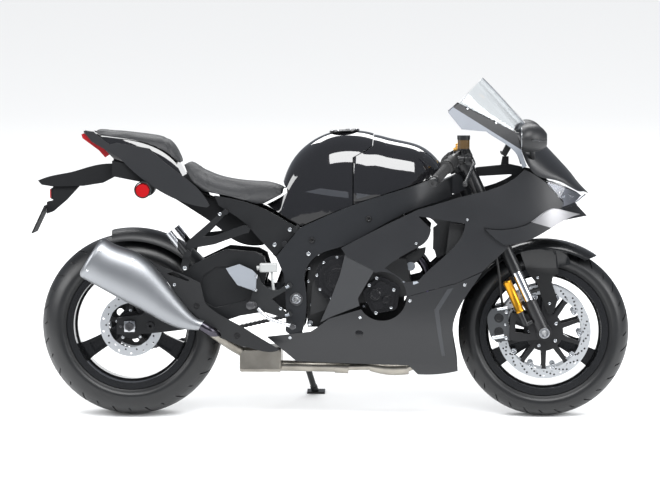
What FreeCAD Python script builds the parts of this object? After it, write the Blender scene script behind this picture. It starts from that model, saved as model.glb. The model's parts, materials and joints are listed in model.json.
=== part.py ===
import FreeCAD, Part
import math
import os

# A litre-class sport bike, parked on its side stand.
# Every piece is drawn in the upright machine's own frame: x forward from the rear axle,
# y to the rider's left, z up from the ground line. The whole machine is then leaned onto
# the side stand and moved so that the origin lies under the middle of its bounding box.
# Lengths are millimetres and angles are degrees.

# Chassis geometry
RAKE = 25.0
TRAIL = 105.0
LEAN = 10.0
STEERING_LOCK = 27.0

# Wheels and tyres
FRONT_TYRE_RADIUS = 299.9
FRONT_TYRE_WIDTH = 120.0
REAR_TYRE_RADIUS = 320.4
REAR_TYRE_WIDTH = 190.0
BEAD_RADIUS = 217.0
FRONT_CROWN_RADIUS = 60.0
REAR_CROWN_RADIUS = 95.0
CARCASS = 11.0
RIM_FLANGE = 9.0
RIM_WALL = 10.0
RIM_LIP = 6.0
RIM_INNER_RADIUS = 193.0
FRONT_RIM_WIDTH = 100.0
REAR_RIM_WIDTH = 164.0
SPOKES = 3
SPOKE_WIDTH = 52.0
SPOKE_DEPTH = 34.0
FIRST_SPOKE_ANGLE = 90.0

# The radiator sets how far ahead the front tyre has to be.
RADIATOR_X = 1096.0
TYRE_TO_RADIATOR = 54.1
WHEELBASE = RADIATOR_X + TYRE_TO_RADIATOR + FRONT_TYRE_RADIUS

# Axles and running clearances
FRONT_AXLE_RADIUS = 14.0
FRONT_AXLE_BORE = 9.5
FRONT_AXLE_HALF = 131.0
REAR_AXLE_RADIUS = 12.5
RUNNING = 0.06
SEAT_GAP = 0.3
PANEL_GAP = 2.0
MOVING_GAP = 5.0

# Brakes
FRONT_DISC_RADIUS = 165.0
FRONT_DISC_BAND = 33.0
FRONT_DISC_OFFSET = 64.0
FRONT_DISC_THICKNESS = 5.0
REAR_DISC_RADIUS = 110.0
REAR_DISC_BAND = 32.0
REAR_DISC_OFFSET = 84.0
REAR_DISC_THICKNESS = 5.0
DISC_HOLE_RADIUS = 3.5
PAD_GAP = 2.5

# Fork and steering head
LEG_SPACING = 210.0
OUTER_TUBE_RADIUS = 23.0
INNER_TUBE_RADIUS = 18.0
OUTER_TUBE_START = 233.0
OUTER_TUBE_END = 708.0
LOWER_CLAMP_AT = 505.0
UPPER_CLAMP_AT = 645.0
CLAMP_WALL = 9.0
LOWER_CLAMP_THICKNESS = 32.0
UPPER_CLAMP_THICKNESS = 20.0
STEM_RADIUS = 18.0
HEAD_TUBE_RADIUS = 33.0

# Final drive
CHAIN_PITCH = 15.875
REAR_TEETH = 41
FRONT_TEETH = 17
CHAIN_LINE = 110.0
CHAIN_WIDTH = 18.0
LINK_HALF_HEIGHT = 7.4
ROLLER_RADIUS = 4.2
TOOTH_GAP = 1.6
FRONT_SPROCKET_X = 690.0
FRONT_SPROCKET_Z = 418.0

# Swingarm
PIVOT_X = 584.0
PIVOT_Z = 418.0
PIVOT_SHAFT_RADIUS = 14.0
PIVOT_BORE = 9.0
BOSS_RADIUS = 26.0
RIGHT_ARM_INNER = 107.0
LEFT_ARM_INNER = CHAIN_LINE + CHAIN_WIDTH
ARM_THICKNESS = 30.0
SPOOL_THREAD_RADIUS = 5.0
SPOOL_DEPTH = 20.0

# Frame and panels
FRAME_WALL = 28.0
CHAIN_TO_FRAME = 8.0
FRAME_HALF_WIDTH = CHAIN_LINE + CHAIN_WIDTH / 2 + CHAIN_TO_FRAME + FRAME_WALL
PANEL = 3.0
SCREEN_WALL = 3.0

# Side stand
STAND_PIVOT = (578.0, FRAME_HALF_WIDTH - 3, 262.0)
STAND_FOOT_X = 636.0
STAND_FOOT_Y = 285.0
STAND_TUBE_RADIUS = 11.0
STAND_FOLDED = (-0.985, 0.13, 0.0)

# Number-plate tab
PLATE_HOLE_SPACING = 146.0
PLATE_HOLE_RADIUS = 3.3
PLATE_TAB = 5.0

Vec = FreeCAD.Vector
Y_AXIS = Vec(0, 1, 0)


def sin(angle):
    return math.sin(math.radians(angle))


def cos(angle):
    return math.cos(math.radians(angle))


# The front axle sits lower by the difference that the two tyre crowns make when leaned.
FRONT_AXLE = Vec(WHEELBASE, 0, FRONT_TYRE_RADIUS - (REAR_CROWN_RADIUS - FRONT_CROWN_RADIUS) * (1 - cos(LEAN)))
REAR_AXLE = Vec(0, 0, REAR_TYRE_RADIUS)
FORK_UP = Vec(-sin(RAKE), 0, cos(RAKE))
FORK_FORWARD = Vec(cos(RAKE), 0, sin(RAKE))
FORK_OFFSET = FRONT_AXLE.z * sin(RAKE) - TRAIL * cos(RAKE)
STEER_BASE = FRONT_AXLE - FORK_FORWARD * FORK_OFFSET


def ahead(x, z):
    """Place of a point of the side view once the steering axis has moved from where it was drawn.

    Points ahead of the radiator keep their place to the steering axis, points from the engine back
    stay, and those between are spread evenly.
    """
    drawn_base_x, drawn_base_z = 1421.58, 286.12
    spread_from, spread_to = 980.0, 1090.0
    share = min(1.0, max(0.0, (x - spread_from) / (spread_to - spread_from)))
    return x + share * (STEER_BASE.x - drawn_base_x), z + share * (STEER_BASE.z - drawn_base_z)


def spot(x, y, z):
    """Point of the bodywork, as a vector, moved with the steering axis."""
    x, z = ahead(x, z)
    return Vec(x, y, z)


def leg(side, along):
    """Point on a fork leg's axis, that far above the front axle; side is -1 right, 1 left."""
    return FRONT_AXLE + FORK_UP * along + Vec(0, side * LEG_SPACING / 2, 0)


def steer(along):
    """Point on the steering axis, level with leg() at the same distance."""
    return STEER_BASE + FORK_UP * along


# Helpers for shapes

def loop(start, *parts):
    """Closed outline in the XZ plane: a part of one point is a line, of several a smooth curve."""
    edges = []
    here = Vec(start[0], 0, start[1])
    first = here
    for part in parts:
        points = [here] + [Vec(x, 0, z) for x, z in part]
        if len(points) == 2:
            edges.append(Part.LineSegment(points[0], points[1]).toShape())
        else:
            curve = Part.BSplineCurve()
            curve.interpolate(points)
            edges.append(curve.toShape())
        here = points[-1]
    if (here - first).Length > 1e-6:
        edges.append(Part.LineSegment(here, first).toShape())
    return Part.Wire(edges)


def panel_loop(start, *parts):
    """Outline of a piece of bodywork or frame, moved with the steering axis."""
    return loop(ahead(*start), *[[ahead(x, z) for x, z in part] for part in parts])


def prism(outline, y_low, y_high):
    """Outline in the XZ plane, extruded along y from y_low to y_high."""
    face = Part.Face(outline)
    face.translate(Vec(0, y_low, 0))
    return face.extrude(Vec(0, y_high - y_low, 0))


def rod(start, end, radius, bore=0.0):
    """Round bar or tube between two points."""
    axis = end - start
    bar = Part.makeCylinder(radius, axis.Length, start, axis)
    if bore:
        bar = bar.cut(Part.makeCylinder(bore, axis.Length, start, axis))
    return bar


def across(centre, y_low, y_high, radius, bore=0.0):
    """Round bar or ring about an axis along y through centre."""
    return rod(Vec(centre.x, y_low, centre.z), Vec(centre.x, y_high, centre.z), radius, bore)


def bent_tube(points, radius):
    """Tube whose path is straight runs joined by tangent arcs as large as the runs allow."""
    edges = []
    here = points[0]
    for k in range(1, len(points) - 1):
        before = points[k - 1] - points[k]
        after = points[k + 1] - points[k]
        reach = 0.45 * min(before.Length, after.Length)
        a = points[k] + before.normalize() * reach
        b = points[k] + after.normalize() * reach
        chord = (a + b) * 0.5
        turn = math.acos(max(-1.0, min(1.0, before.dot(after))))
        bend = reach * math.tan(turn / 2)
        centre_way = (chord - points[k]).normalize()
        centre = points[k] + centre_way * (reach / math.cos(turn / 2))
        middle = centre - centre_way * bend
        edges.append(Part.LineSegment(here, a).toShape())
        edges.append(Part.Arc(a, middle, b).toShape())
        here = b
    edges.append(Part.LineSegment(here, points[-1]).toShape())
    path = Part.Wire(edges)
    start_way = points[1] - points[0]
    profile = Part.Wire(Part.makeCircle(radius, points[0], start_way))
    return path.makePipeShell([profile], True, True)


def revolve(points, centre):
    """Closed section of (y, radius) points, turned about the y axis through centre."""
    section = [Vec(centre.x, y, centre.z + r) for y, r in points]
    wire = Part.makePolygon(section + [section[0]])
    return Part.Face(wire).revolve(centre, Y_AXIS, 360)


def smooth_surface(grid):
    surface = Part.BSplineSurface()
    surface.interpolate(grid)
    return surface


def offset_grid(grid, depth):
    """The grid's points moved along its normals by depth, to the side of the wall."""
    rows = len(grid)
    columns = len(grid[0])
    moved = []
    for i in range(rows):
        line = []
        for j in range(columns):
            along_u = grid[min(i + 1, rows - 1)][j] - grid[max(i - 1, 0)][j]
            along_v = grid[i][min(j + 1, columns - 1)] - grid[i][max(j - 1, 0)]
            line.append(grid[i][j] - along_u.cross(along_v).normalize() * depth)
        moved.append(line)
    return moved


def thick_skin(grid, wall, depth=0.0):
    """Panel below a grid of points: its face lies at depth and its wall goes on from there."""
    outer_surface = smooth_surface(offset_grid(grid, depth) if depth else grid)
    inner_surface = smooth_surface(offset_grid(grid, depth + wall))
    faces = [outer_surface.toShape(), inner_surface.toShape()]
    for end in (0, 1):
        faces.append(Part.makeRuledSurface(outer_surface.uIso(end).toShape(), inner_surface.uIso(end).toShape()))
        faces.append(Part.makeRuledSurface(outer_surface.vIso(end).toShape(), inner_surface.vIso(end).toShape()))
    shell = Part.makeShell(faces)
    shell.sewShape()
    solid = Part.makeSolid(shell)
    if solid.Volume < 0:
        solid.reverse()
    return solid


def arch(ridge, side, steps=6, fullness=1.0):
    """Points of an arched section from the right side over the ridge to the left side."""
    points = []
    for k in range(-steps, steps + 1):
        t = 90.0 * k / steps
        spread = abs(sin(t)) ** fullness * (1 if k >= 0 else -1)
        drop = 1 - cos(t)
        points.append(Vec(
            ridge[0] + (side[0] - ridge[0]) * drop,
            side[1] * spread,
            ridge[1] + (side[2] - ridge[1]) * drop,
        ))
    return points


def section_wire(x, half_width, z_low, z_high, widest=0.35, low_share=0.8, crown=0.55):
    """Closed cross-section at x: an arched top over sides that are widest part of the way up."""
    z_wide = z_low + (z_high - z_low) * widest
    points = [
        Vec(x, -half_width * low_share, z_low),
        Vec(x, -half_width, z_wide),
        Vec(x, -half_width * crown, z_high - (z_high - z_wide) * 0.16),
        Vec(x, 0, z_high),
        Vec(x, half_width * crown, z_high - (z_high - z_wide) * 0.16),
        Vec(x, half_width, z_wide),
        Vec(x, half_width * low_share, z_low),
    ]
    curve = Part.BSplineCurve()
    curve.interpolate(points)
    return Part.Wire([curve.toShape(), Part.LineSegment(points[-1], points[0]).toShape()])


def loft(wires):
    return Part.makeLoft(wires, True, False)


def mirrored(shape):
    return shape.mirror(Vec(0, 0, 0), Y_AXIS)


def pair(shape):
    """The piece on the right and its mirror image on the left, as separate solids."""
    return Part.makeCompound([shape, mirrored(shape)])


def fuse(*shapes):
    whole = shapes[0]
    for shape in shapes[1:]:
        whole = whole.fuse(shape)
    return whole.removeSplitter()


def around(shape, centre, count, step_angle):
    """Copies of a shape turned about the y axis through centre."""
    copies = []
    for k in range(count):
        copy = shape.copy()
        copy.rotate(centre, Y_AXIS, k * step_angle)
        copies.append(copy)
    return copies


# Wheels

def tyre(centre, radius, width, crown, rim_width):
    """Hollow tyre: a round crown, full sidewalls and beads between the rim's flanges."""
    half = width / 2
    shoulder_angle = 62.0
    outer = []
    for k in range(-6, 7):
        t = shoulder_angle * k / 6
        outer.append((min(crown, half) * sin(t) / sin(shoulder_angle) * half / min(crown, half), radius - crown * (1 - cos(t)) * 1.25))
    wall_radius = (outer[-1][1] + BEAD_RADIUS) / 2 + 6
    bead_half = rim_width / 2 - RIM_LIP - SEAT_GAP
    bead_top = BEAD_RADIUS + RIM_FLANGE
    right_wall = [(-bead_half, BEAD_RADIUS), (-bead_half, bead_top), (-half * 0.985, wall_radius)]
    outside = right_wall + outer + [(-y, r) for y, r in right_wall[::-1]]
    inside = [(y * (1 - CARCASS / half), r - CARCASS) for y, r in outer]
    inner_side = [(half * 0.985 - CARCASS, wall_radius - 4), (bead_half - CARCASS, BEAD_RADIUS)]
    section = outside + inner_side[::-1] + inside[::-1] + [(-y, r) for y, r in inner_side]
    return revolve(section, centre)


def rim(centre, width, hub_half, hub_radius, bore, lean_of_spoke=0.0):
    """Cast wheel: a flanged barrel, a hub with a running bore and three I-section spokes."""
    half = width / 2
    well = RIM_INNER_RADIUS
    section = [
        (-half, BEAD_RADIUS + RIM_FLANGE),
        (-half + RIM_LIP - 1, BEAD_RADIUS + RIM_FLANGE),
        (-half + RIM_LIP, BEAD_RADIUS - SEAT_GAP),
        (-half * 0.55, BEAD_RADIUS - 4),
        (-half * 0.40, well + RIM_WALL),
        (half * 0.40, well + RIM_WALL),
        (half * 0.55, BEAD_RADIUS - 4),
        (half - RIM_LIP, BEAD_RADIUS - SEAT_GAP),
        (half - RIM_LIP + 1, BEAD_RADIUS + RIM_FLANGE),
        (half, BEAD_RADIUS + RIM_FLANGE),
        (half, BEAD_RADIUS - 14),
        (half * 0.62, BEAD_RADIUS - 17),
        (half * 0.42, well),
        (-half * 0.42, well),
        (-half * 0.62, BEAD_RADIUS - 17),
        (-half, BEAD_RADIUS - 14),
    ]
    barrel = revolve(section, centre)
    hub = across(centre, -hub_half, hub_half, hub_radius)
    flange = across(centre, -SPOKE_DEPTH / 2, SPOKE_DEPTH / 2, hub_radius + 12)
    foot = hub_radius * 0.6
    tip = well + 4
    narrow = SPOKE_WIDTH / 2
    wide = narrow * 1.28
    outline = loop(
        (centre.x - narrow, centre.z + foot),
        [(centre.x - narrow, centre.z + tip * 0.7), (centre.x - wide, centre.z + tip - 1)],
        [(centre.x + wide, centre.z + tip - 1)],
        [(centre.x + narrow, centre.z + tip * 0.7), (centre.x + narrow, centre.z + foot)],
    )
    spoke = prism(outline, -SPOKE_DEPTH / 2, SPOKE_DEPTH / 2)
    web = 4.0
    edge = 8.0
    pocket = loop(
        (centre.x - narrow + edge, centre.z + hub_radius + 18),
        [(centre.x - narrow + edge, centre.z + well - 26)],
        [(centre.x + narrow - edge, centre.z + well - 26)],
        [(centre.x + narrow - edge, centre.z + hub_radius + 18)],
    )
    for low, high in ((-SPOKE_DEPTH, -web), (web, SPOKE_DEPTH)):
        spoke = spoke.cut(prism(pocket, low, high))
    spoke.rotate(centre, Y_AXIS, 90 - FIRST_SPOKE_ANGLE + lean_of_spoke)
    wheel = fuse(barrel, hub, flange, *around(spoke, centre, SPOKES, 360.0 / SPOKES))
    return wheel.cut(across(centre, -hub_half - 1, hub_half + 1, bore))


def brake_disc(centre, radius, band, offset, thickness, carrier_radius, hub_radius, arms, holes):
    """Drilled disc: a steel band on buttons, and a spoked carrier bolted to the hub."""
    low, high = offset - thickness / 2, offset + thickness / 2
    ring = across(centre, low, high, radius, radius - band)
    drills = []
    rows = (0.32, 0.70)
    for row, share in enumerate(rows):
        at = Vec(centre.x, 0, centre.z + radius - band * share)
        hole = across(at, low - 1, high + 1, DISC_HOLE_RADIUS)
        hole.rotate(centre, Y_AXIS, row * 360.0 / holes / len(rows))
        drills += around(hole, centre, holes, 360.0 / holes)
    ring = ring.cut(Part.makeCompound(drills))
    carrier = across(centre, low, high, carrier_radius, hub_radius)
    reach = radius - band + 4
    arm = prism(loop(
        (centre.x - 9, centre.z + carrier_radius - 4),
        [(centre.x + 9, centre.z + carrier_radius - 4)],
        [(centre.x + 6, centre.z + reach)],
        [(centre.x - 6, centre.z + reach)],
    ), low, high)
    button = across(Vec(centre.x, 0, centre.z + radius - band - 3), low - 1.5, high + 1.5, 8.5)
    spread = around(fuse(arm, button), centre, arms, 360.0 / arms)
    return fuse(ring, carrier, *spread)


def sprocket_radius(teeth):
    return CHAIN_PITCH / (2 * math.sin(math.pi / teeth))


def sprocket(centre, teeth, y_low, y_high, bore, gap=TOOTH_GAP):
    """Toothed plate whose tips stay just inside the chain's rollers."""
    tip = sprocket_radius(teeth) - ROLLER_RADIUS - gap
    root = tip - 4.0
    points = []
    for k in range(teeth):
        for share, radius in ((0.0, root), (0.28, root), (0.5, tip), (0.72, tip)):
            t = 360.0 * (k + share) / teeth
            points.append(Vec(centre.x + radius * cos(t), y_low, centre.z + radius * sin(t)))
    plate = Part.Face(Part.makePolygon(points + [points[0]])).extrude(Vec(0, y_high - y_low, 0))
    cuts = [across(centre, y_low - 1, y_high + 1, bore)]
    if root > 60:
        slot = across(Vec(centre.x, 0, centre.z + (bore + root) / 2 + 4), y_low - 1, y_high + 1, 13)
        cuts += around(slot, centre, 6, 60.0)
    return plate.cut(Part.makeCompound(cuts))


def make_wheels():
    front_hub = 46.0
    rear_hub = 78.0
    front = {
        "front_tyre": tyre(FRONT_AXLE, FRONT_TYRE_RADIUS, FRONT_TYRE_WIDTH, FRONT_CROWN_RADIUS, FRONT_RIM_WIDTH),
        "front_rim": rim(FRONT_AXLE, FRONT_RIM_WIDTH, FRONT_DISC_OFFSET - FRONT_DISC_THICKNESS / 2, front_hub / 2 + 11, FRONT_AXLE_RADIUS + RUNNING),
        "front_discs": pair(brake_disc(
            FRONT_AXLE, FRONT_DISC_RADIUS, FRONT_DISC_BAND, -FRONT_DISC_OFFSET, FRONT_DISC_THICKNESS, 68.0, 26.0, 10, 16)),
    }
    rear_face = REAR_DISC_OFFSET - REAR_DISC_THICKNESS / 2
    rear = {
        "rear_tyre": tyre(REAR_AXLE, REAR_TYRE_RADIUS, REAR_TYRE_WIDTH, REAR_CROWN_RADIUS, REAR_RIM_WIDTH),
        "rear_rim": rim(REAR_AXLE, REAR_RIM_WIDTH, rear_face, rear_hub / 2 + 4, REAR_AXLE_RADIUS + RUNNING),
        "rear_disc": brake_disc(
            REAR_AXLE, REAR_DISC_RADIUS, REAR_DISC_BAND, -REAR_DISC_OFFSET, REAR_DISC_THICKNESS, 46.0, 24.0, 5, 14),
        "rear_sprocket": fuse(
            sprocket(REAR_AXLE, REAR_TEETH, CHAIN_LINE - 3, CHAIN_LINE + 3, 24.0),
            across(REAR_AXLE, rear_face, CHAIN_LINE - 3, 34.0, REAR_AXLE_RADIUS + RUNNING)),
    }
    return front, rear


# Fork, controls and everything else that steers

def clamp_plate(at, thickness):
    """Fork clamp: a plate across both legs and the stem, with a ring round each leg."""
    low = at - thickness / 2
    ring = OUTER_TUBE_RADIUS + CLAMP_WALL
    body = rod(steer(low), steer(low + thickness), HEAD_TUBE_RADIUS)
    for side in (-1, 1):
        hub = rod(leg(side, low), leg(side, low + thickness), ring)
        link = Part.makeBox(2 * ring * 0.8, LEG_SPACING / 2, thickness, Vec(-ring * 0.8, 0, 0))
        link.rotate(Vec(0, 0, 0), Vec(0, 0, 1), 180 if side < 0 else 0)
        link.rotate(Vec(0, 0, 0), Y_AXIS, -RAKE)
        link.translate(steer(low) + FORK_FORWARD * FORK_OFFSET / 2)
        body = fuse(body, hub, link)
    for side in (-1, 1):
        body = body.cut(rod(leg(side, low - 1), leg(side, low + thickness + 1), OUTER_TUBE_RADIUS))
    return body


def fork_upper():
    stem = rod(steer(LOWER_CLAMP_AT), steer(UPPER_CLAMP_AT), STEM_RADIUS)
    body = fuse(clamp_plate(LOWER_CLAMP_AT, LOWER_CLAMP_THICKNESS), stem, clamp_plate(UPPER_CLAMP_AT, UPPER_CLAMP_THICKNESS))
    for side in (-1, 1):
        tube = rod(leg(side, OUTER_TUBE_START), leg(side, OUTER_TUBE_END), OUTER_TUBE_RADIUS, INNER_TUBE_RADIUS + SEAT_GAP)
        cap = rod(leg(side, OUTER_TUBE_END - 12), leg(side, OUTER_TUBE_END), OUTER_TUBE_RADIUS)
        body = fuse(body, tube, cap)
    return body


CARRIER_TOP = 119.0
CALIPER_SIZE = (74.0, 118.0)
CALIPER_CENTRE = Vec(FRONT_AXLE.x - 152.0, 0, FRONT_AXLE.z + 26.0)


def fork_slider(side):
    """Bright inner tube and the cast carrier that clamps the axle and carries the caliper."""
    tube = rod(leg(side, CARRIER_TOP - 20), leg(side, OUTER_TUBE_START + 90), INNER_TUBE_RADIUS)
    carrier = rod(leg(side, 8), leg(side, CARRIER_TOP), INNER_TUBE_RADIUS + 5)
    eye = across(FRONT_AXLE, side * LEG_SPACING / 2 - 17, side * LEG_SPACING / 2 + 17, 27)
    lug = prism(loop(
        (FRONT_AXLE.x - 4, FRONT_AXLE.z + 60),
        [(CALIPER_CENTRE.x + 34, CALIPER_CENTRE.z + 42)],
        [(CALIPER_CENTRE.x + 30, CALIPER_CENTRE.z - 52)],
        [(CALIPER_CENTRE.x + 58, CALIPER_CENTRE.z - 58)],
        [(FRONT_AXLE.x - 6, FRONT_AXLE.z - 24)],
    ), *sorted((side * (LEG_SPACING / 2 - 14), side * (LEG_SPACING / 2 - 2))))
    window = prism(loop(
        (FRONT_AXLE.x - 62, FRONT_AXLE.z + 30),
        [(CALIPER_CENTRE.x + 52, CALIPER_CENTRE.z + 14)],
        [(CALIPER_CENTRE.x + 52, CALIPER_CENTRE.z - 26)],
        [(FRONT_AXLE.x - 48, FRONT_AXLE.z - 6)],
    ), *sorted((side * (LEG_SPACING / 2 - 20), side * (LEG_SPACING / 2 + 2))))
    return fuse(tube, carrier, eye, lug.cut(window)).cut(across(FRONT_AXLE, -200, 200, FRONT_AXLE_RADIUS + RUNNING))


def disc_caliper(centre, height, length, tilt, inner_y, outer_y, disc_centre, disc_radius, disc_low, disc_high):
    """Brake caliper: two halves over the disc, joined by a bridge outside its rim."""
    body = prism(loop(
        (centre.x - height / 2, centre.z - length / 2 + 16),
        [(centre.x - height / 2 - 5, centre.z - length / 4), (centre.x - height / 2 - 7, centre.z), (centre.x - height / 2 - 5, centre.z + length / 4), (centre.x - height / 2, centre.z + length / 2 - 16)],
        [(centre.x - height / 2 + 14, centre.z + length / 2)],
        [(centre.x + height / 2 - 6, centre.z + length / 2)],
        [(centre.x + height / 2, centre.z + length / 2 - 12)],
        [(centre.x + height / 2 - 10, centre.z)],
        [(centre.x + height / 2, centre.z - length / 2 + 12)],
        [(centre.x + height / 2 - 6, centre.z - length / 2)],
        [(centre.x - height / 2 + 14, centre.z - length / 2)],
    ), inner_y, outer_y)
    body.rotate(centre, Y_AXIS, tilt)
    slot = across(disc_centre, disc_low - PAD_GAP, disc_high + PAD_GAP, disc_radius + PAD_GAP * 2)
    return body.cut(slot)


def front_calipers():
    low = -FRONT_DISC_OFFSET - FRONT_DISC_THICKNESS / 2
    high = -FRONT_DISC_OFFSET + FRONT_DISC_THICKNESS / 2
    right = disc_caliper(
        CALIPER_CENTRE, CALIPER_SIZE[0], CALIPER_SIZE[1], -9.0, -LEG_SPACING / 2 + 14 + SEAT_GAP, -44.0,
        FRONT_AXLE, FRONT_DISC_RADIUS, low, high)
    rim_space = across(FRONT_AXLE, -FRONT_RIM_WIDTH / 2 - 6, 0, BEAD_RADIUS + 30, RIM_INNER_RADIUS - 6)
    return pair(right.cut(rim_space))


def fork_reservoir(side):
    """Damping reservoir beside the leg: a gold cylinder on a dark neck that meets the carrier."""
    start = leg(side, 52) - FORK_FORWARD * 46 + Vec(0, side * 17, 0)
    neck = rod(start, start + FORK_UP * 34, 10.5)
    body = rod(start + FORK_UP * 34, start + FORK_UP * 154, 12.8)
    foot = rod(start + FORK_UP * 2 + FORK_FORWARD * (46 - INNER_TUBE_RADIUS - 3), start + FORK_UP * 2, 8)
    return fuse(neck, body, foot).cut(rod(leg(side, 0), leg(side, 200), INNER_TUBE_RADIUS + 5 + SEAT_GAP))


def front_fender():
    """Mudguard: an arched blade over the tyre and a stay on each side bolted to the fork leg."""
    inner = FRONT_TYRE_RADIUS + 12
    grid = []
    for angle in (28, 44, 60, 78, 96, 114, 132, 150):
        flare = 2.0 if angle < 40 else 0.0
        ridge = Vec(FRONT_AXLE.x + (inner + 10 + flare) * cos(angle), 0, FRONT_AXLE.z + (inner + 10 + flare) * sin(angle))
        half = 76.0 - 30.0 * max(0.0, (50.0 - angle) / 22.0)
        drop = 34.0 if 44 <= angle <= 132 else 22.0
        edge = Vec(FRONT_AXLE.x + (inner + 10 - drop) * cos(angle), half, FRONT_AXLE.z + (inner + 10 - drop) * sin(angle))
        grid.append(arch((ridge.x, ridge.z), (edge.x, half, edge.z), steps=4, fullness=0.72))
    blade = thick_skin(grid, PANEL)
    stay_outline = loop(
        (FRONT_AXLE.x - 88, FRONT_AXLE.z + 290),
        [(FRONT_AXLE.x + 70, FRONT_AXLE.z + 286)],
        [(FRONT_AXLE.x + 66, FRONT_AXLE.z + 212), (FRONT_AXLE.x + 30, FRONT_AXLE.z + 190), (FRONT_AXLE.x + 26, FRONT_AXLE.z + 176)],
        [(FRONT_AXLE.x + 48, FRONT_AXLE.z + 112)],
        [(FRONT_AXLE.x + 34, FRONT_AXLE.z + 66)],
        [(FRONT_AXLE.x + 12, FRONT_AXLE.z + 62)],
        [(FRONT_AXLE.x - 24, FRONT_AXLE.z + 168)],
        [(FRONT_AXLE.x - 62, FRONT_AXLE.z + 214)],
    )
    stay = prism(stay_outline, -77.5, -73.5)
    foot = rod(leg(-1, 150) + FORK_FORWARD * 10, Vec(FRONT_AXLE.x - 20, -76, FRONT_AXLE.z + 150), 7)
    foot = foot.cut(rod(leg(-1, 0), leg(-1, 400), INNER_TUBE_RADIUS + SEAT_GAP))
    side = fuse(stay, foot)
    return fuse(blade, side, mirrored(side))


BAR_INNER = spot(1152, -132, 926)
BAR_OUTER = BAR_INNER + Vec(-86, -220, -89)


def handlebar_right():
    """Clip-on bar: a split ring on the fork tube, an alloy bar and a rubber grip with its end weight."""
    way = (BAR_OUTER - BAR_INNER).normalize()
    ring = rod(leg(-1, UPPER_CLAMP_AT + 16), leg(-1, UPPER_CLAMP_AT + 50), OUTER_TUBE_RADIUS + 10)
    bar = rod(leg(-1, UPPER_CLAMP_AT + 33), BAR_INNER, 14)
    tube = rod(BAR_INNER, BAR_OUTER, 11)
    grip = rod(BAR_OUTER - way * 122, BAR_OUTER - way * 2, 16.5)
    collar = rod(BAR_OUTER - way * 128, BAR_OUTER - way * 122, 21)
    weight = rod(BAR_OUTER - way * 2, BAR_OUTER + way * 16, 15)
    switch = rod(BAR_OUTER - way * 178, BAR_OUTER - way * 130, 24)
    whole = fuse(ring, bar, tube, grip, collar, weight, switch)
    return whole.cut(rod(leg(-1, UPPER_CLAMP_AT), leg(-1, UPPER_CLAMP_AT + 80), OUTER_TUBE_RADIUS + SEAT_GAP / 3))


def lever_blade(side_points, half_height):
    """Flat curved lever in a plane across the bar, from its pivot to its ball end."""
    tube = bent_tube(side_points, half_height)
    ball = Part.makeSphere(half_height * 1.6, side_points[-1])
    return fuse(tube, ball)


def hand_control(master):
    """Perch, lever and (for the brake) a master cylinder with its upright reservoir."""
    way = (BAR_OUTER - BAR_INNER).normalize()
    at = BAR_OUTER - way * 196
    perch = rod(at - way * 12, at + way * 12, 19)
    arm = rod(at, at + Vec(42, -6, 6), 11)
    pivot = at + Vec(46, -10, 6)
    lever = lever_blade([pivot, pivot + Vec(24, -34, -14), pivot + Vec(12, -92, -44), pivot + Vec(-8, -158, -84)], 6)
    parts = [perch, arm, rod(pivot - Vec(0, 0, 14), pivot + Vec(0, 0, 14), 12), lever]
    if master:
        parts.append(rod(at + Vec(36, 34, 12), at + Vec(52, -34, -4), 14))
        foot = at + Vec(34, 30, 8)
        parts.append(rod(foot, foot + Vec(0, 0, 30), 8))
        parts.append(rod(foot + Vec(0, 0, 26), foot + Vec(0, 0, 62), 21))
        parts.append(rod(foot + Vec(0, 0, 62), foot + Vec(0, 0, 76), 22.5))
    whole = fuse(*parts)
    return whole.cut(rod(BAR_INNER, BAR_OUTER, 11 + SEAT_GAP / 3))


def brake_hose(side):
    """Hose from the hand control down the back of the leg to the caliper's top."""
    caliper_top = Vec(CALIPER_CENTRE.x + 8, side * 70, CALIPER_CENTRE.z + CALIPER_SIZE[1] / 2 + 4)
    points = [
        spot(1190, side * 150, 842),
        spot(1212, side * 146, 780),
        spot(1240, side * 143, 716),
        spot(1262, side * 142, 650),
        spot(1278, side * 140, 585),
        spot(1290, side * 132, 522),
        spot(1297, side * 112, 466),
        spot(1300, side * 82, 424),
        caliper_top,
    ]
    return bent_tube(points, 4.5)


def make_steering():
    return {
        "fork_clamps": fork_upper(),
        "fork_sliders": Part.makeCompound([fork_slider(-1), fork_slider(1)]),
        "fork_reservoirs": Part.makeCompound([fork_reservoir(-1), fork_reservoir(1)]),
        "front_axle": rod(Vec(FRONT_AXLE.x, -FRONT_AXLE_HALF, FRONT_AXLE.z), Vec(FRONT_AXLE.x, FRONT_AXLE_HALF, FRONT_AXLE.z), FRONT_AXLE_RADIUS, FRONT_AXLE_BORE),
        "front_calipers": front_calipers(),
        "front_fender": front_fender(),
        "handlebars": pair(handlebar_right()),
        "hand_controls": Part.makeCompound([hand_control(True), mirrored(hand_control(False))]),
        "brake_hoses": Part.makeCompound([brake_hose(-1), brake_hose(1)]),
    }


# Frame, engine and swingarm

SPAR_PLAN = tuple((ahead(x, 0)[0], width) for x, width in (
    (470, FRAME_HALF_WIDTH), (560, FRAME_HALF_WIDTH), (650, FRAME_HALF_WIDTH + 3), (750, FRAME_HALF_WIDTH + 7),
    (850, FRAME_HALF_WIDTH + 9), (940, FRAME_HALF_WIDTH + 3), (1010, FRAME_HALF_WIDTH * 0.877),
    (1060, FRAME_HALF_WIDTH * 0.671), (1096, 78), (1130, 58)))


def half_width_at(plan, x):
    """Half width from a plan table, straight between its stations."""
    for (x0, w0), (x1, w1) in zip(plan, plan[1:]):
        if x0 <= x <= x1:
            return w0 + (w1 - w0) * (x - x0) / (x1 - x0)
    return plan[0][1] if x < plan[0][0] else plan[-1][1]


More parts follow.
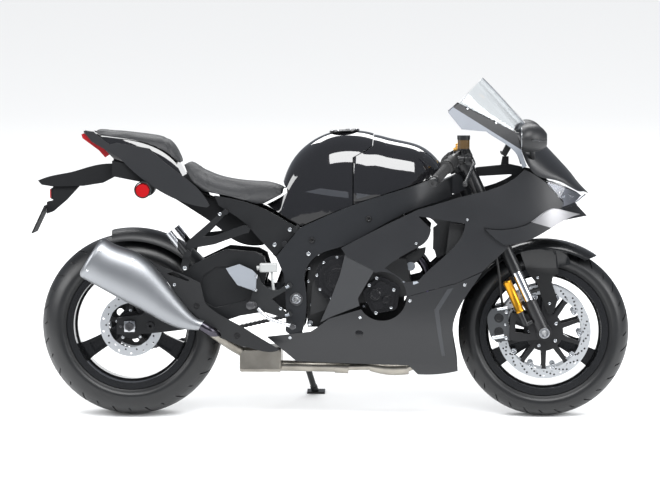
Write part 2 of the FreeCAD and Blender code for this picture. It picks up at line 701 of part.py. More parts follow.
def spar_right():
    """One spar with its pivot plate: a thick curved wall trimmed to the frame's side outline."""
    curve = Part.BSplineCurve()
    curve.interpolate([Vec(x, -w, 0) for x, w in SPAR_PLAN])
    inner = Part.BSplineCurve()
    inner.interpolate([Vec(x, -w + FRAME_WALL, 0) for x, w in SPAR_PLAN])
    first, last = SPAR_PLAN[0], SPAR_PLAN[-1]
    edges = [
        curve.toShape(),
        Part.LineSegment(Vec(last[0], -last[1], 0), Vec(last[0], -last[1] + FRAME_WALL, 0)).toShape(),
        inner.toShape(),
        Part.LineSegment(Vec(first[0], -first[1] + FRAME_WALL, 0), Vec(first[0], -first[1], 0)).toShape(),
    ]
    wall = Part.Face(Part.Wire(Part.__sortEdges__(edges))).extrude(Vec(0, 0, 1200))
    outline = panel_loop(
        (597, 667),
        [(670, 700), (732, 727), (903, 786), (1038, 830), (1128, 872)],
        [(1128, 772)],
        [(1010, 737)],
        [(971, 722), (860, 664), (739, 601)],
        [(700, 590), (650, 566), (622, 530), (612, 484)],
        [(620, 415), (606, 307)],
        [(598, 300), (556, 298), (546, 310)],
        [(548, 378), (544, 460), (541, 503)],
        [(513, 565)],
    )
    return wall.common(prism(outline, -300, 0))


def main_frame():
    spar = spar_right()
    head = rod(steer(LOWER_CLAMP_AT + LOWER_CLAMP_THICKNESS / 2 + 4), steer(UPPER_CLAMP_AT - UPPER_CLAMP_THICKNESS / 2 - 4), HEAD_TUBE_RADIUS)
    gusset = prism(panel_loop((1085, 790), [(1085, 856)], [(1126, 872)], [(1160, 846)], [(1178, 800)], [(1140, 782)]), -58, 58)
    gusset = gusset.common(rod(steer(LOWER_CLAMP_AT + LOWER_CLAMP_THICKNESS / 2 + 4), steer(UPPER_CLAMP_AT - UPPER_CLAMP_THICKNESS / 2 - 4), 95))
    cross = across(Vec(601, 0, 516), -FRAME_HALF_WIDTH + 4, FRAME_HALF_WIDTH - 4, 16)
    upper_cross = across(SHOCK_TOP, -FRAME_HALF_WIDTH + 4, FRAME_HALF_WIDTH - 4, SHOCK_TUBE_RADIUS)
    lower_cross = across(Vec(578, 0, 323), -FRAME_HALF_WIDTH + 4, FRAME_HALF_WIDTH - 4, 13)
    frame = fuse(spar, mirrored(spar), head, gusset, cross, upper_cross, lower_cross, stand_bracket())
    frame = frame.cut(rod(steer(LOWER_CLAMP_AT), steer(UPPER_CLAMP_AT), STEM_RADIUS + RUNNING))
    clamp_floor = UPPER_CLAMP_AT - UPPER_CLAMP_THICKNESS / 2 - MOVING_GAP
    swing = LEG_SPACING / 2 + OUTER_TUBE_RADIUS + CLAMP_WALL + MOVING_GAP
    clamp_room = rod(steer(clamp_floor), steer(UPPER_CLAMP_AT + 60), swing, HEAD_TUBE_RADIUS + 1)
    frame = frame.cut(clamp_room)
    pivot = Vec(PIVOT_X, 0, PIVOT_Z)
    return frame.cut(across(pivot, -200, 200, PIVOT_SHAFT_RADIUS + RUNNING))


def stand_bracket():
    """Lug below the left pivot plate that the side stand turns on."""
    x, y, z = STAND_PIVOT
    lug = prism(loop((x - 18, z - 14), [(x - 22, 297)], [(x + 16, 297)], [(x + 18, z - 14)]), y - 24, y - 14)
    return lug


def subframe():
    """Seat rails: a cast rail each side, joined by two cross members under the seat."""
    rail_outline = loop(
        (296, 778),
        [(354, 768), (451, 740), (551, 687), (592, 663)],
        [(511 - PANEL_GAP, 566)],
        [(437, 645)],
        [(404, 681), (337, 728), (312, 743)],
    )
    rail = prism(rail_outline, -127.0, -103.0)
    for x, z in ((582, 659), (543, 610)):
        rail = rail.fuse(across(Vec(x, 0, z), -FRAME_HALF_WIDTH + 4, -112, 10))
    rail = outer_part(rail, spar_right(), Vec(0, SEAT_GAP, 0))
    rear_cross = across(Vec(344, 0, 738), -105, 105, 9)
    front_cross = across(Vec(520, 0, 660), -105, 105, 11)
    return fuse(rail, mirrored(rail), rear_cross, front_cross)


def engine():
    """The engine's mass: crankcase, forward-leaning cylinders and a sump, as one plain block."""
    case = prism(loop(
        (632, 362), [(640, 470)], [(690, 556)], [(800, 566)], [(968, 560)], [(985, 470)], [(972, 430)], [(790, 402)], [(700, 384)],
    ), -148, 92)
    left_case = prism(loop((772, 400), [(772, 560)], [(960, 556)], [(972, 430)]), 90, 140)
    top = prism(loop((770, 550), [(812, 690)], [(955, 712)], [(1010, 610)], [(985, 540)]), -118, 118)
    sump = prism(loop((668, 250), [(650, 372)], [(700, 410)], [(960, 430)], [(955, 300)], [(905, 218)], [(720, 218)]), -84, 84)
    return fuse(case, left_case, top, sump)


def engine_covers():
    """Right clutch and crank covers, left generator cover and front-sprocket cover."""
    clutch_at = Vec(729, 0, 492)
    clutch = fuse(
        across(clutch_at, -160, -148 - SEAT_GAP, 80),
        across(clutch_at, -176, -158, 66),
        across(clutch_at, -184, -174, 48))
    crank_at = Vec(884, 0, 432)
    pentagon = [Vec(crank_at.x + 72 * cos(100 + 72 * k), -148 - SEAT_GAP, crank_at.z + 72 * sin(100 + 72 * k)) for k in range(5)]
    plate = Part.Face(Part.makePolygon(pentagon + [pentagon[0]])).extrude(Vec(0, -16, 0))
    edges = [e for e in plate.Edges if abs(e.tangentAt(e.FirstParameter).y) > 0.9]
    plate = plate.makeFillet(22, edges)
    inner = [Vec(crank_at.x + 54 * cos(100 + 72 * k), -164, crank_at.z + 54 * sin(100 + 72 * k)) for k in range(5)]
    raised = Part.Face(Part.makePolygon(inner + [inner[0]])).extrude(Vec(0, -8, 0))
    caps = fuse(across(Vec(872, 0, 440), -176, -170, 18), across(Vec(906, 0, 424), -176, -170, 11))
    crank = fuse(plate, raised, caps)
    generator = fuse(
        across(Vec(880, 0, 480), 140 + SEAT_GAP, 160, 70),
        across(Vec(880, 0, 480), 158, 170, 48))
    sprocket_cover = prism(loop(
        (640, 372), [(628, 420), (640, 468), (690, 480)], [(762, 472)], [(766, 372)], [(700, 358)]),
        CHAIN_LINE + CHAIN_WIDTH / 2 + 3, CHAIN_LINE + CHAIN_WIDTH / 2 + 17)
    posts = [across(Vec(x, 0, z), 92 + SEAT_GAP, CHAIN_LINE + CHAIN_WIDTH / 2 + 4, 5.5) for x, z in ((755, 412), (752, 462))]
    sprocket_cover = fuse(sprocket_cover, *posts)
    return Part.makeCompound([clutch, crank, generator, sprocket_cover])


def front_sprocket():
    at = Vec(FRONT_SPROCKET_X, 0, FRONT_SPROCKET_Z)
    plate = sprocket(at, FRONT_TEETH, CHAIN_LINE - 3, CHAIN_LINE + 3, 12.0, SEAT_GAP)
    return plate.fuse(across(at, 92 + SEAT_GAP, CHAIN_LINE + 3, 20)).removeSplitter()


def swingarm():
    """Braced alloy swingarm: two arms, a lower beam, an upper truss and the pivot boss."""
    arm_outline = loop(
        (-46, 348),
        [(-46, 292)],
        [(72, 296), (240, 318), (386, 358)],
        [(470, 372)],
        [(470, 470)],
        [(484, 520)],
        [(470, 566)],
        [(441, 582)],
        [(337, 591)],
        [(305, 577)],
        [(209, 531)],
        [(150, 470), (80, 392), (40, 362)],
    )
    right = prism(arm_outline, -RIGHT_ARM_INNER - ARM_THICKNESS, -RIGHT_ARM_INNER)
    pocket = prism(loop((258, 500), [(300, 530)], [(400, 536)], [(420, 470)], [(405, 410)], [(300, 386)], [(232, 420)]),
                   -RIGHT_ARM_INNER - ARM_THICKNESS - 1, -RIGHT_ARM_INNER - ARM_THICKNESS + 7)
    right = right.cut(pocket)
    left = prism(arm_outline, LEFT_ARM_INNER, LEFT_ARM_INNER + ARM_THICKNESS)
    low_beam = prism(loop((352, 352), [(352, 408)], [(486, 424)], [(486, 372)]), -RIGHT_ARM_INNER - 2, LEFT_ARM_INNER + 2)
    boss_link = prism(loop((470, 380), [(470, 452 - 6)], [(560, 438)], [(560, 396)]), -92, 92)
    truss = prism(loop((372, 500), [(380, 572)], [(452, 562)], [(470, 512)]), -RIGHT_ARM_INNER - 2, LEFT_ARM_INNER + 2)
    boss = across(Vec(PIVOT_X, 0, PIVOT_Z), -FRAME_HALF_WIDTH + FRAME_WALL + SEAT_GAP, FRAME_HALF_WIDTH - FRAME_WALL - SEAT_GAP, BOSS_RADIUS)
    arm = fuse(right, left, low_beam, truss, boss_link, boss)
    arm = arm.cut(across(REAR_AXLE, -250, 250, REAR_AXLE_RADIUS + RUNNING))
    for side, face in ((-1, RIGHT_ARM_INNER + ARM_THICKNESS), (1, LEFT_ARM_INNER + ARM_THICKNESS)):
        spool = Vec(72, 0, 322)
        pad = across(spool, *sorted((side * (face - 2), side * (face + 8))), 14)
        hole = across(spool, *sorted((side * (face + 8), side * (face + 8 - SPOOL_DEPTH))), SPOOL_THREAD_RADIUS)
        arm = fuse(arm, pad).cut(hole)
    slot = across(Vec(PIVOT_X, 0, PIVOT_Z), -200, 200, PIVOT_SHAFT_RADIUS + RUNNING)
    return arm.cut(slot)


def rear_axle():
    """Rear axle with its spacers between hub and arms and a nut at each end."""
    right_out = -RIGHT_ARM_INNER - ARM_THICKNESS
    left_out = LEFT_ARM_INNER + ARM_THICKNESS
    axle = across(REAR_AXLE, right_out - 14, left_out + 14, REAR_AXLE_RADIUS)
    right_spacer = across(REAR_AXLE, -RIGHT_ARM_INNER + SEAT_GAP, -REAR_DISC_OFFSET - REAR_DISC_THICKNESS / 2 - 3, 19)
    left_spacer = across(REAR_AXLE, CHAIN_LINE + 3 + 3, LEFT_ARM_INNER - SEAT_GAP, 19)
    right_nut = across(REAR_AXLE, right_out - 16, right_out - SEAT_GAP, 20)
    left_nut = across(REAR_AXLE, left_out + SEAT_GAP, left_out + 16, 20)
    return fuse(axle, right_spacer, left_spacer, right_nut, left_nut)


def rear_caliper():
    low = -REAR_DISC_OFFSET - REAR_DISC_THICKNESS / 2
    high = -REAR_DISC_OFFSET + REAR_DISC_THICKNESS / 2
    centre = Vec(52, 0, 396)
    body = disc_caliper(centre, 52, 74, 62, -RIGHT_ARM_INNER + SEAT_GAP, -66, REAR_AXLE, REAR_DISC_RADIUS, low, high)
    return body


SHOCK_TOP = Vec(592, 0, 636)
SHOCK_TUBE_RADIUS = 13.0


def rear_shock():
    """Damper and spring standing between the swingarm's link and a cross tube of the frame."""
    low = Vec(524, 0, 446)
    way = (SHOCK_TOP - low).normalize()
    foot = prism(loop((508, 442.97), [(508, 468)], [(540, 468)], [(540, 440.13)]), -20, 20)
    parts = [foot, rod(low + way * 8, SHOCK_TOP, 10), rod(low + way * 12, low + way * 72, 22)]
    for k in range(7):
        start = low + way * (78 + 13 * k)
        parts.append(rod(start, start + way * 7.5, 28))
    parts.append(rod(low + way * 70, low + way * 168, 21))
    parts.append(across(SHOCK_TOP, -13, 13, 21))
    return fuse(*parts).cut(across(SHOCK_TOP, -40, 40, SHOCK_TUBE_RADIUS + SEAT_GAP))


def chain_path_points():
    """Pitch points of the closed chain loop, and the way the loop runs at each."""
    big, small = sprocket_radius(REAR_TEETH), sprocket_radius(FRONT_TEETH)
    rear = Vec(0, 0, REAR_AXLE.z)
    front = Vec(FRONT_SPROCKET_X, 0, FRONT_SPROCKET_Z)
    span = (front - rear).Length
    slope = math.degrees(math.atan2(front.z - rear.z, front.x - rear.x))
    wrap = math.degrees(math.asin((big - small) / span))
    straight = span * cos(wrap)
    total = 2 * straight + math.radians(180 + 2 * wrap) * big + math.radians(180 - 2 * wrap) * small
    links = 2 * round(total / CHAIN_PITCH / 2)
    points = []
    for k in range(links):
        s = total * k / links
        up = slope + 90 - wrap
        if s < straight:
            start = rear + Vec(cos(up), 0, sin(up)) * big
            end = front + Vec(cos(up), 0, sin(up)) * small
            points.append((start + (end - start) * (s / straight), up))
            continue
        s -= straight
        arc = math.radians(180 - 2 * wrap) * small
        if s < arc:
            t = up - math.degrees(s / small)
            points.append((front + Vec(cos(t), 0, sin(t)) * small, t))
            continue
        s -= arc
        down = slope - 90 + wrap
        if s < straight:
            start = front + Vec(cos(down), 0, sin(down)) * small
            end = rear + Vec(cos(down), 0, sin(down)) * big
            points.append((start + (end - start) * (s / straight), down))
            continue
        s -= straight
        t = down - math.degrees(s / big)
        points.append((rear + Vec(cos(t), 0, sin(t)) * big, t))
    return points


def drive_chain():
    """Fixed loop: two rows of waisted link plates joined by the rollers' band."""
    pins = chain_path_points()
    count = len(pins)
    waist = 0.68

    def ring(sign, share):
        line = []
        for k, (at, t) in enumerate(pins):
            nearby, t_next = pins[(k + 1) % count]
            out = Vec(cos(t), 0, sin(t))
            line.append(at + out * (sign * share))
            middle = (at + nearby) * 0.5
            turn = ((t_next - t + 180) % 360) - 180
            out_middle = Vec(cos(t + turn / 2), 0, sin(t + turn / 2))
            line.append(middle + out_middle * (sign * share * waist))
        return line

    def band(outer_share, inner_share, low, high):
        outer = ring(1, outer_share)
        inner = ring(-1, inner_share)
        face = Part.Face(Part.makePolygon(outer + [outer[0]]))
        face = face.cut(Part.Face(Part.makePolygon(inner + [inner[0]])))
        face.translate(Vec(0, low, 0))
        return face.extrude(Vec(0, high - low, 0))

    low = CHAIN_LINE - CHAIN_WIDTH / 2
    high = CHAIN_LINE + CHAIN_WIDTH / 2
    plate = 2.2
    rollers = band(ROLLER_RADIUS, ROLLER_RADIUS, low + plate, high - plate)
    left = band(LINK_HALF_HEIGHT, LINK_HALF_HEIGHT, low, low + plate)
    right = band(LINK_HALF_HEIGHT, LINK_HALF_HEIGHT, high - plate, high)
    return fuse(rollers, left, right)


def pivot_shaft():
    return across(Vec(PIVOT_X, 0, PIVOT_Z), -FRAME_HALF_WIDTH - 12, FRAME_HALF_WIDTH + 12, PIVOT_SHAFT_RADIUS, PIVOT_BORE)


def radiator():
    """Radiator core between its two tanks, on struts from the engine."""
    x = RADIATOR_X
    core = Part.makeBox(36, 330, 350, Vec(-18, -165, 0))
    core.rotate(Vec(0, 0, 0), Y_AXIS, 8)
    core.translate(Vec(x, 0, 332))
    tank = Part.makeBox(50, 22, 360, Vec(-25, -176, -5))
    tank.rotate(Vec(0, 0, 0), Y_AXIS, 8)
    tank.translate(Vec(x, 0, 332))
    struts = [outer_part(rod(Vec(970, y, 444), Vec(x, y, 444), 7), engine(), Vec(SEAT_GAP, 0, 0)) for y in (-65, 59)]
    return fuse(core, tank, mirrored(tank), *struts)


# Exhaust

SILENCER_END = Vec(-115, -205, 560)
SILENCER_BACK = Vec(-0.853, 0, 0.521)
SILENCER_UP = Vec(0.521, 0, 0.853)


def silencer_section(back, rise, half_height, half_width, squareness=2.6):
    """Rounded cross-section of the silencer, square to its axis."""
    centre = SILENCER_END + SILENCER_BACK * back + SILENCER_UP * rise
    points = []
    for k in range(16):
        t = 22.5 * k
        c, s = cos(t), sin(t)
        across_y = half_width * math.copysign(abs(c) ** (2 / squareness), c)
        lean_in = 1 - 0.16 * max(0.0, s)
        up = half_height * math.copysign(abs(s) ** (2 / squareness), s)
        points.append(centre + Vec(0, across_y * lean_in, 0) + SILENCER_UP * up)
    curve = Part.BSplineCurve()
    curve.interpolate(points, PeriodicFlag=True)
    return Part.Wire([curve.toShape()])


SILENCER_STATIONS = (
    # distance back from the end cap, rise, half height, half width
    (0, 1, 80, 64), (-90, 9, 84, 66), (-155, 11, 83, 66), (-223, 4, 71, 60),
    (-300, -9, 54, 50), (-350, -16, 42, 41), (-400, -16, 27, 28), (-436, -4, 20, 21),
)


def silencer_can(margin=0.0):
    return loft([silencer_section(back, rise, high + margin, wide + margin) for back, rise, high, wide in SILENCER_STATIONS])


def silencer():
    """Brushed silencer can: a tapered body, a cone to the pipe and a dished end cap with an outlet."""
    cap = loft([silencer_section(0, 1, 80, 64), silencer_section(14, 1, 76, 60), silencer_section(20, 1, 66, 50)])
    outlet = rod(SILENCER_END + SILENCER_BACK * -60 - SILENCER_UP * 12, SILENCER_END + SILENCER_BACK * 40 - SILENCER_UP * 12, 27)
    return fuse(silencer_can(), cap).cut(outlet)


def exhaust_pipes():
    """Under-engine system: header bundle, collector, plain pipe, pre-chamber and the link to the silencer."""
    chamber = loft([
        Part.Wire(Part.makePolygon([Vec(x, y, z) for y, z in ((-92, 166), (-78, 156), (78, 156), (92, 166), (92, 232), (76, 243), (-76, 243), (-92, 232), (-92, 166))]))
        for x in (382, 528)])
    edges = [e for e in chamber.Edges if abs(e.tangentAt(e.FirstParameter).x) < 0.1]
    chamber = chamber.makeFillet(7, edges)
    pipe = rod(Vec(500, -42, 176), Vec(726, -42, 172), 19)
    collar = rod(Vec(716, -42, 172), Vec(764, -42, 170), 22)
    collector = rod(Vec(750, -42, 172), Vec(850, -42, 174), 13)
    bundle = loft([
        Part.Wire(Part.makeCircle(17, Vec(838, -42, 174), Vec(1, 0, 0))),
        Part.Wire(Part.makeCircle(24, Vec(930, -42, 166), Vec(1, 0, 0))),
        Part.Wire(Part.makeCircle(22, Vec(976, -42, 168), Vec(1, 0, 0)))])
    headers = []
    for k, y in enumerate((-96, -34, 28, 90)):
        headers.append(bent_tube([
            Vec(968, -52 + 7 * k, 170), Vec(1020, -45 + 16 * k, 190), Vec(1048, -70 + 38 * k, 280),
            Vec(1052, y, 420), Vec(1040, y, 530), Vec(992, y, 580)], 16))
    system = fuse(chamber, pipe, collar, collector, bundle, *headers, link_pipe(17))
    return outer_part(system, engine(), Vec(SEAT_GAP, 0, 0))


def link_pipe(radius):
    """Pipe from the pre-chamber out to the silencer's cone."""
    neck_end = SILENCER_END + SILENCER_BACK * -436 + SILENCER_UP * -4
    before = neck_end - SILENCER_BACK * 40
    return bent_tube([Vec(396, -60, 222), Vec(352, -110, 252), before, neck_end - SILENCER_BACK * SEAT_GAP], radius)


def silencer_shield():
    """Dark cover over the link pipe, between the silencer and the footrest."""
    outline = loop(
        (44, 582),
        [(80, 553), (150, 521), (212, 495)],
        [(250, 477)],
        [(267, 406)],
        [(290, 385), (360, 343), (431, 302)],
        [(528, 244)],
        [(514, 238), (460, 240), (395, 255)],
        [(312, 288)],
        [(272, 330), (200, 395), (120, 488), (58, 560)],
    )
    panel = prism(outline, -190, -184)
    slot = prism(loop((132, 508), [(158, 516)], [(214, 486)], [(206, 482)]), -192, -182)
    boss = across(Vec(240, 0, 420), -184, -RIGHT_ARM_INNER - ARM_THICKNESS - SEAT_GAP, 9)
    return fuse(panel.cut(slot).cut(silencer_can(2.0)).cut(link_pipe(19)), boss)


# Body panels

SIDE_STATIONS = (
    (470, 0.80), (600, 0.88), (740, 0.95), (880, 0.985), (1020, 1.0), (1150, 1.0),
    (1270, 0.985), (1380, 0.92), (1460, 0.80), (1530, 0.60), (1590, 0.32), (1625, 0.10),
)
SIDE_PROFILE = (
    (120, 84), (150, 112), (200, 150), (260, 176), (340, 196), (450, 207),
    (560, 212), (650, 212), (750, 207), (830, 199), (900, 190),
)


def side_wall(depth=0.0, wall=PANEL):
    """The fairing's whole right-hand surface: its plan taper times its front-view section."""
    grid = [[spot(x, -share * width, z) for z, width in SIDE_PROFILE] for x, share in SIDE_STATIONS]
    return thick_skin(grid, wall, depth)


def upper_outline():
    return panel_loop(
        (742, 600),
        [(880, 672), (1010, 734)],
        [(1060, 748), (1149, 776)],
        [(1239, 797), (1303, 819), (1367, 862)],
        [(1378, 872)],
        [(1420, 850), (1458, 822)],
        [(1515, 754)],
        [(1506, 734)],
        [(1452, 728), (1404, 694), (1335, 670), (1236, 672)],
        [(1256, 650), (1280, 631), (1300, 618)],
        [(1327, 607)],
        [(1294, 577), (1234, 521)],
        [(1146, 480)],
        [(968, 431)],
        [(880, 470)],
        [(853, 526)],
        [(760, 572)],
    )


def vent_outline():
    return panel_loop(
        (1010, 711),
        [(1172, 686)],
        [(1160, 640), (1137, 608), (1051, 528), (1014, 490)],
        [(971, 480)],
        [(894, 531)],
        [(946, 568), (1023, 611)],
        [(1046, 637), (1054, 667)],
    )


def lower_outline():
    return panel_loop(
        (480, 286),
        [(530, 292), (635, 306)],
        [(662, 324), (698, 352)],
        [(791, 380)],
        [(872, 404)],
        [(968, 429)],
        [(1146, 478)],
        [(1232, 517)],
        [(1186, 449), (1154, 396), (1134, 344), (1131, 288), (1138, 241), (1148, 165)],
        [(1083, 153), (1008, 152)],
        [(976, 186)],
        [(808, 191), (583, 199)],
    )


CRANK_OPENING = Vec(884, 0, 432)
CRANK_OPENING_RADIUS = 86.0


def upper_fairing():
    wall = side_wall()
    panel = wall.common(prism(upper_outline(), -300, -20))
    panel = panel.cut(prism(vent_outline(), -300, -20))
    post = across(Vec(960, 0, 660), -209, -118 - SEAT_GAP, 8)
    return fuse(panel.cut(across(CRANK_OPENING, -300, -20, CRANK_OPENING_RADIUS)), post)


def lower_fairing():
    wall = side_wall()
    panel = wall.common(prism(lower_outline(), -300, -20))
    post = across(Vec(900, 0, 300), -183, -84 - SEAT_GAP, 8)
    return fuse(panel.cut(across(CRANK_OPENING, -300, -20, CRANK_OPENING_RADIUS)), post)


def lower_fairing_left():
    """Left lower panel, cut short behind so that the side stand can swing past it."""
    stand_room = prism(loop((400, 100), [(400, 330)], [(640, 330)], [(716, 268)], [(716, 100)]), 20, 300)
    return mirrored(lower_fairing()).cut(stand_room)


def behind_panel(outline, wall=PANEL):
    """Piece seated against the inside of the side fairing, cut to an outline."""
    return side_wall(PANEL + SEAT_GAP, wall).common(prism(outline, -300, -12))


def engine_guard():
    """Plate that fills the fairing's gap between the clutch and crank covers."""
    outline = loop(
        (756, 580), [(862, 530)], [(800, 424)], [(806, 398)], [(705, 358)], [(668, 338)], [(708, 428)], [(737, 504)])
    return behind_panel(outline)


NOSE_SECTIONS = (
    ((1369.5, 1034.0), (1343, 164.8, 999)),
    ((1398, 1012), (1370, 178, 946)),
    ((1432, 977), (1398, 176, 876)),
    ((1488, 918), (1440, 163, 844)),
    ((1546, 854), (1510, 133, 826)),
    ((1606, 786), (1588, 64, 797)),
)


def ahead_arch(ridge, side):
    """Arched section of the nose or screen, moved with the steering axis."""
    return arch(ahead(*ridge), tuple(spot(*side)), steps=5)


def nose_cowl():
    """Top of the nose: an arched skin from the screen's foot to the tip between the lamps."""
    grid = [ahead_arch(ridge, side) for ridge, side in NOSE_SECTIONS]
    return thick_skin(grid, PANEL)


def nose_duct():
    """Central air intake below the lamps: a lipped scoop that runs back into the nose."""
    outer = panel_loop((1600, 706), [(1566, 742)], [(1540, 770)], [(1400, 770)], [(1400, 690)], [(1520, 690)])
    scoop = prism(outer, -44, 44)
    mouth = prism(panel_loop((1610, 712), [(1568, 738)], [(1548, 762)], [(1408, 762)], [(1408, 698)], [(1560, 698)]), -38, 38)
    return scoop.cut(mouth)


def wing_point(x, z):
    """Outer surface of the cowl's right wing: wider to the front, leaning in towards the screen."""
    spread = 168 + 22 * min(1.0, (x - 1104) / 180.0)
    return spot(x, -(spread - 0.22 * max(0.0, z - 940)), z)


def cowl_wings():
    """Side wings of the upper cowl, from the screen's edge down to the cockpit's rim."""
    columns = (1090, 1150, 1210, 1270, 1330, 1400)
    rows = (860, 920, 980, 1040, 1120)
    skin = thick_skin([[wing_point(x, z) for z in rows] for x in columns], PANEL)
    outline = panel_loop(
        (1112, 1070),
        [(1146, 1100)],
        [(1250, 1050), (1352, 1000)],
        [(1364, 950), (1386, 884)],
        [(1370, 878)],
        [(1362, 905), (1338, 940), (1304, 966), (1245, 1004)],
        [(1160, 1011)],
    )
    return pair(skin.common(prism(outline, -300, -20)))


SCREEN_SECTIONS = (
    ((1235, 1190), (1148, 134.8, 1096)),
    ((1290, 1134), (1222, 151.0, 1060)),
    ((1340, 1080), (1296, 167.2, 1024)),
    ((1383, 1034), (1354, 172.7, 994)),
)


def windscreen():
    """Clear bubble screen with arched sections."""
    grid = [ahead_arch(ridge, side) for ridge, side in SCREEN_SECTIONS]
    return thick_skin(grid, SCREEN_WALL)


def headlight_right():
    """Lamp lens, its rim tucked behind the fairing."""
    outline = panel_loop(
        (1450, 834), [(1487, 826), (1530, 813), (1584, 790)], [(1598, 779)], [(1566, 748)], [(1508, 730)], [(1515, 753)])
    lens = outer_part(behind_panel(outline, 12.0), winglet(), Vec(0, 0, 0))
    return outer_part(lens, winglet(), Vec(0, SEAT_GAP, SEAT_GAP))


def winglet():
    """Swept blade below the lamp that stands out from the side, with a flange behind the fairing."""
    blade_outline = panel_loop(
        (1240, 669),
        [(1335, 667), (1404, 690), (1452, 725), (1516, 729)],
        [(1574, 714)],
        [(1479, 674), (1420, 640), (1345, 615), (1305, 614)],
        [(1282, 630), (1258, 650)],
    )
    flange_outline = panel_loop(
        (1250, 684), [(1335, 682), (1400, 706), (1448, 740), (1500, 742)], [(1500, 716)], [(1440, 690), (1400, 666), (1262, 652)])
    blade = side_wall(-12.0, 19.0).common(prism(blade_outline, -300, -20))
    whole = fuse(blade, behind_panel(flange_outline, 3.0))
    panel = side_wall().common(prism(upper_outline(), -300, -20))
    return outer_part(outer_part(whole, panel, Vec(0, 0, 0)), panel, Vec(0, SEAT_GAP, -SEAT_GAP / 3))


def silhouette_ring(x, half_width, half_height, z):
    """Rounded section across x for the mirror's shell."""
    points = []
    for k in range(12):
        t = 30.0 * k
        points.append(spot(x, half_width * cos(t), z + half_height * sin(t)))
    curve = Part.BSplineCurve()
    curve.interpolate(points, PeriodicFlag=True)
    return Part.Wire([curve.toShape()])


def outer_part(shape, cutter, shift):
    """The largest piece of a shape once a neighbour, moved by the seat gap, is cut away."""
    tool = cutter.copy()
    tool.translate(shift)
    return max(shape.cut(tool).Solids, key=lambda solid: solid.Volume)


def mirror_right():
    """Mirror with a lamp nose, on a stalk from the cowl."""
    stretch = 1.9
    rings = ((1366, 32, 44, 984), (1396, 36, 50, 986), (1428, 26, 42, 984), (1452, 12, 20, 980))
    shell = loft([silhouette_ring(x, width * stretch, height, z) for x, width, height, z in rings])
    shell.translate(Vec(0, -304, 0))
    stalk = bent_tube([spot(1396, -250, 968), spot(1404, -214, 936), spot(1408, -150, 908)], 9)
    return fuse(shell, outer_part(stalk, nose_cowl(), Vec(0, -SEAT_GAP, 0)))


def fairing_stay():
    """Cast stay from the steering head to the nose, which carries the dash and the lamps."""
    arm = prism(panel_loop((1196, 842), [(1212, 874)], [(1330, 886)], [(1420, 866)], [(1500, 800)], [(1496, 770 + SEAT_GAP)], [(1476, 770 + SEAT_GAP)], [(1400, 836)], [(1330, 850)]), -22, 22)
    half_bow = outer_part(across(spot(1440, 0, 858), -200, 0, 7), nose_cowl(), Vec(0, SEAT_GAP, 0))
    bow = fuse(half_bow, mirrored(half_bow))
    post = prism(panel_loop((1296, 870), [(1304, 912.7)], [(1326, 912.7)], [(1326, 870)]), -18, 18)
    head_room = rod(steer(LOWER_CLAMP_AT), steer(UPPER_CLAMP_AT), HEAD_TUBE_RADIUS + SEAT_GAP)
    return fuse(arm.cut(head_room), bow, post)


def dash():
    """Instrument panel facing the rider."""
    body = Part.makeBox(20, 176, 74, Vec(-10, -88, 0))
    body = body.makeFillet(6, [e for e in body.Edges if e.Length < 30])
    body.rotate(Vec(0, 0, 0), Y_AXIS, 30)
    body.translate(spot(1306, 0, 918))
    return body


TANK_STATIONS = (
    # x, half width, top, widest share
    (476, 84, 760, 0.35), (530, 92, 822, 0.35), (558, 98, 888, 0.36), (618, 112, 955, 0.40), (672, 126, 987, 0.44), (730, 138, 1003, 0.47),
    (800, 146, 1003, 0.48), (852, 148, 993, 0.48),
)
AIRBOX_STATIONS = (
    (852, 148, 990, 0.48), (905, 147, 978, 0.48), (960, 142, 966, 0.46), (1010, 132, 952, 0.45), (1050, 116, 928, 0.42), (1084, 92, 892, 0.40), (1096, 70, 868, 0.4),
)
TANK_FLOOR = 640.0
AIRBOX_FLOOR = 760.0


def tank_body(stations, floor):
    wires = []
    for x, width, top, share in stations:
        moved_x, moved_top = ahead(x, top)
        wires.append(section_wire(moved_x, width, floor, moved_top, widest=share, low_share=0.92, crown=0.58))
    return loft(wires)


def fuel_tank():
    """Tank with its knee hollows, cut to the line of the frame, the seat and the airbox cover."""
    body = tank_body(TANK_STATIONS, TANK_FLOOR)
    outline = loop(
        (476, 745),
        [(530, 774), (557, 794)],
        [(540, 812)],
        [(532, 830)],
        [(532, 1100)],
        [(860, 1100)],
        [(848, 953)],
        [(828, 939)],
        [(780, 912)],
        [(780, 742 + PANEL_GAP)],
        [(732, 729)],
        [(670, 703)],
        [(598, 671)],
        [(555, 694)],
    )
    tank = body.common(prism(outline, -200, 200))
    spar = spar_right()
    tank = outer_part(tank, spar, Vec(0, SEAT_GAP, SEAT_GAP))
    return outer_part(tank, mirrored(spar), Vec(0, -SEAT_GAP, SEAT_GAP))


def airbox_cover():
    """Front half of the tank's shape: the airbox cover that meets the tank on a slanted seam."""
    body = tank_body(((782, 146, 1003, 0.48),) + AIRBOX_STATIONS, 720.0)
    outline = panel_loop(
        (852, 1100),
        [(1100, 1100)],
        [(1100, 866)],
        [(1040, 834)],
        [(903, 789)],
        [(784, 748)],
        [(784, 912)],
        [(830, 937)],
        [(850, 951)],
        [(862, 1100)],
    )
    return body.common(prism(outline, -200, 200))


def seat_loft(stations, crown):
    return loft([section_wire(x, width, low, high, widest=0.45, low_share=0.86, crown=crown) for x, width, low, high in stations])


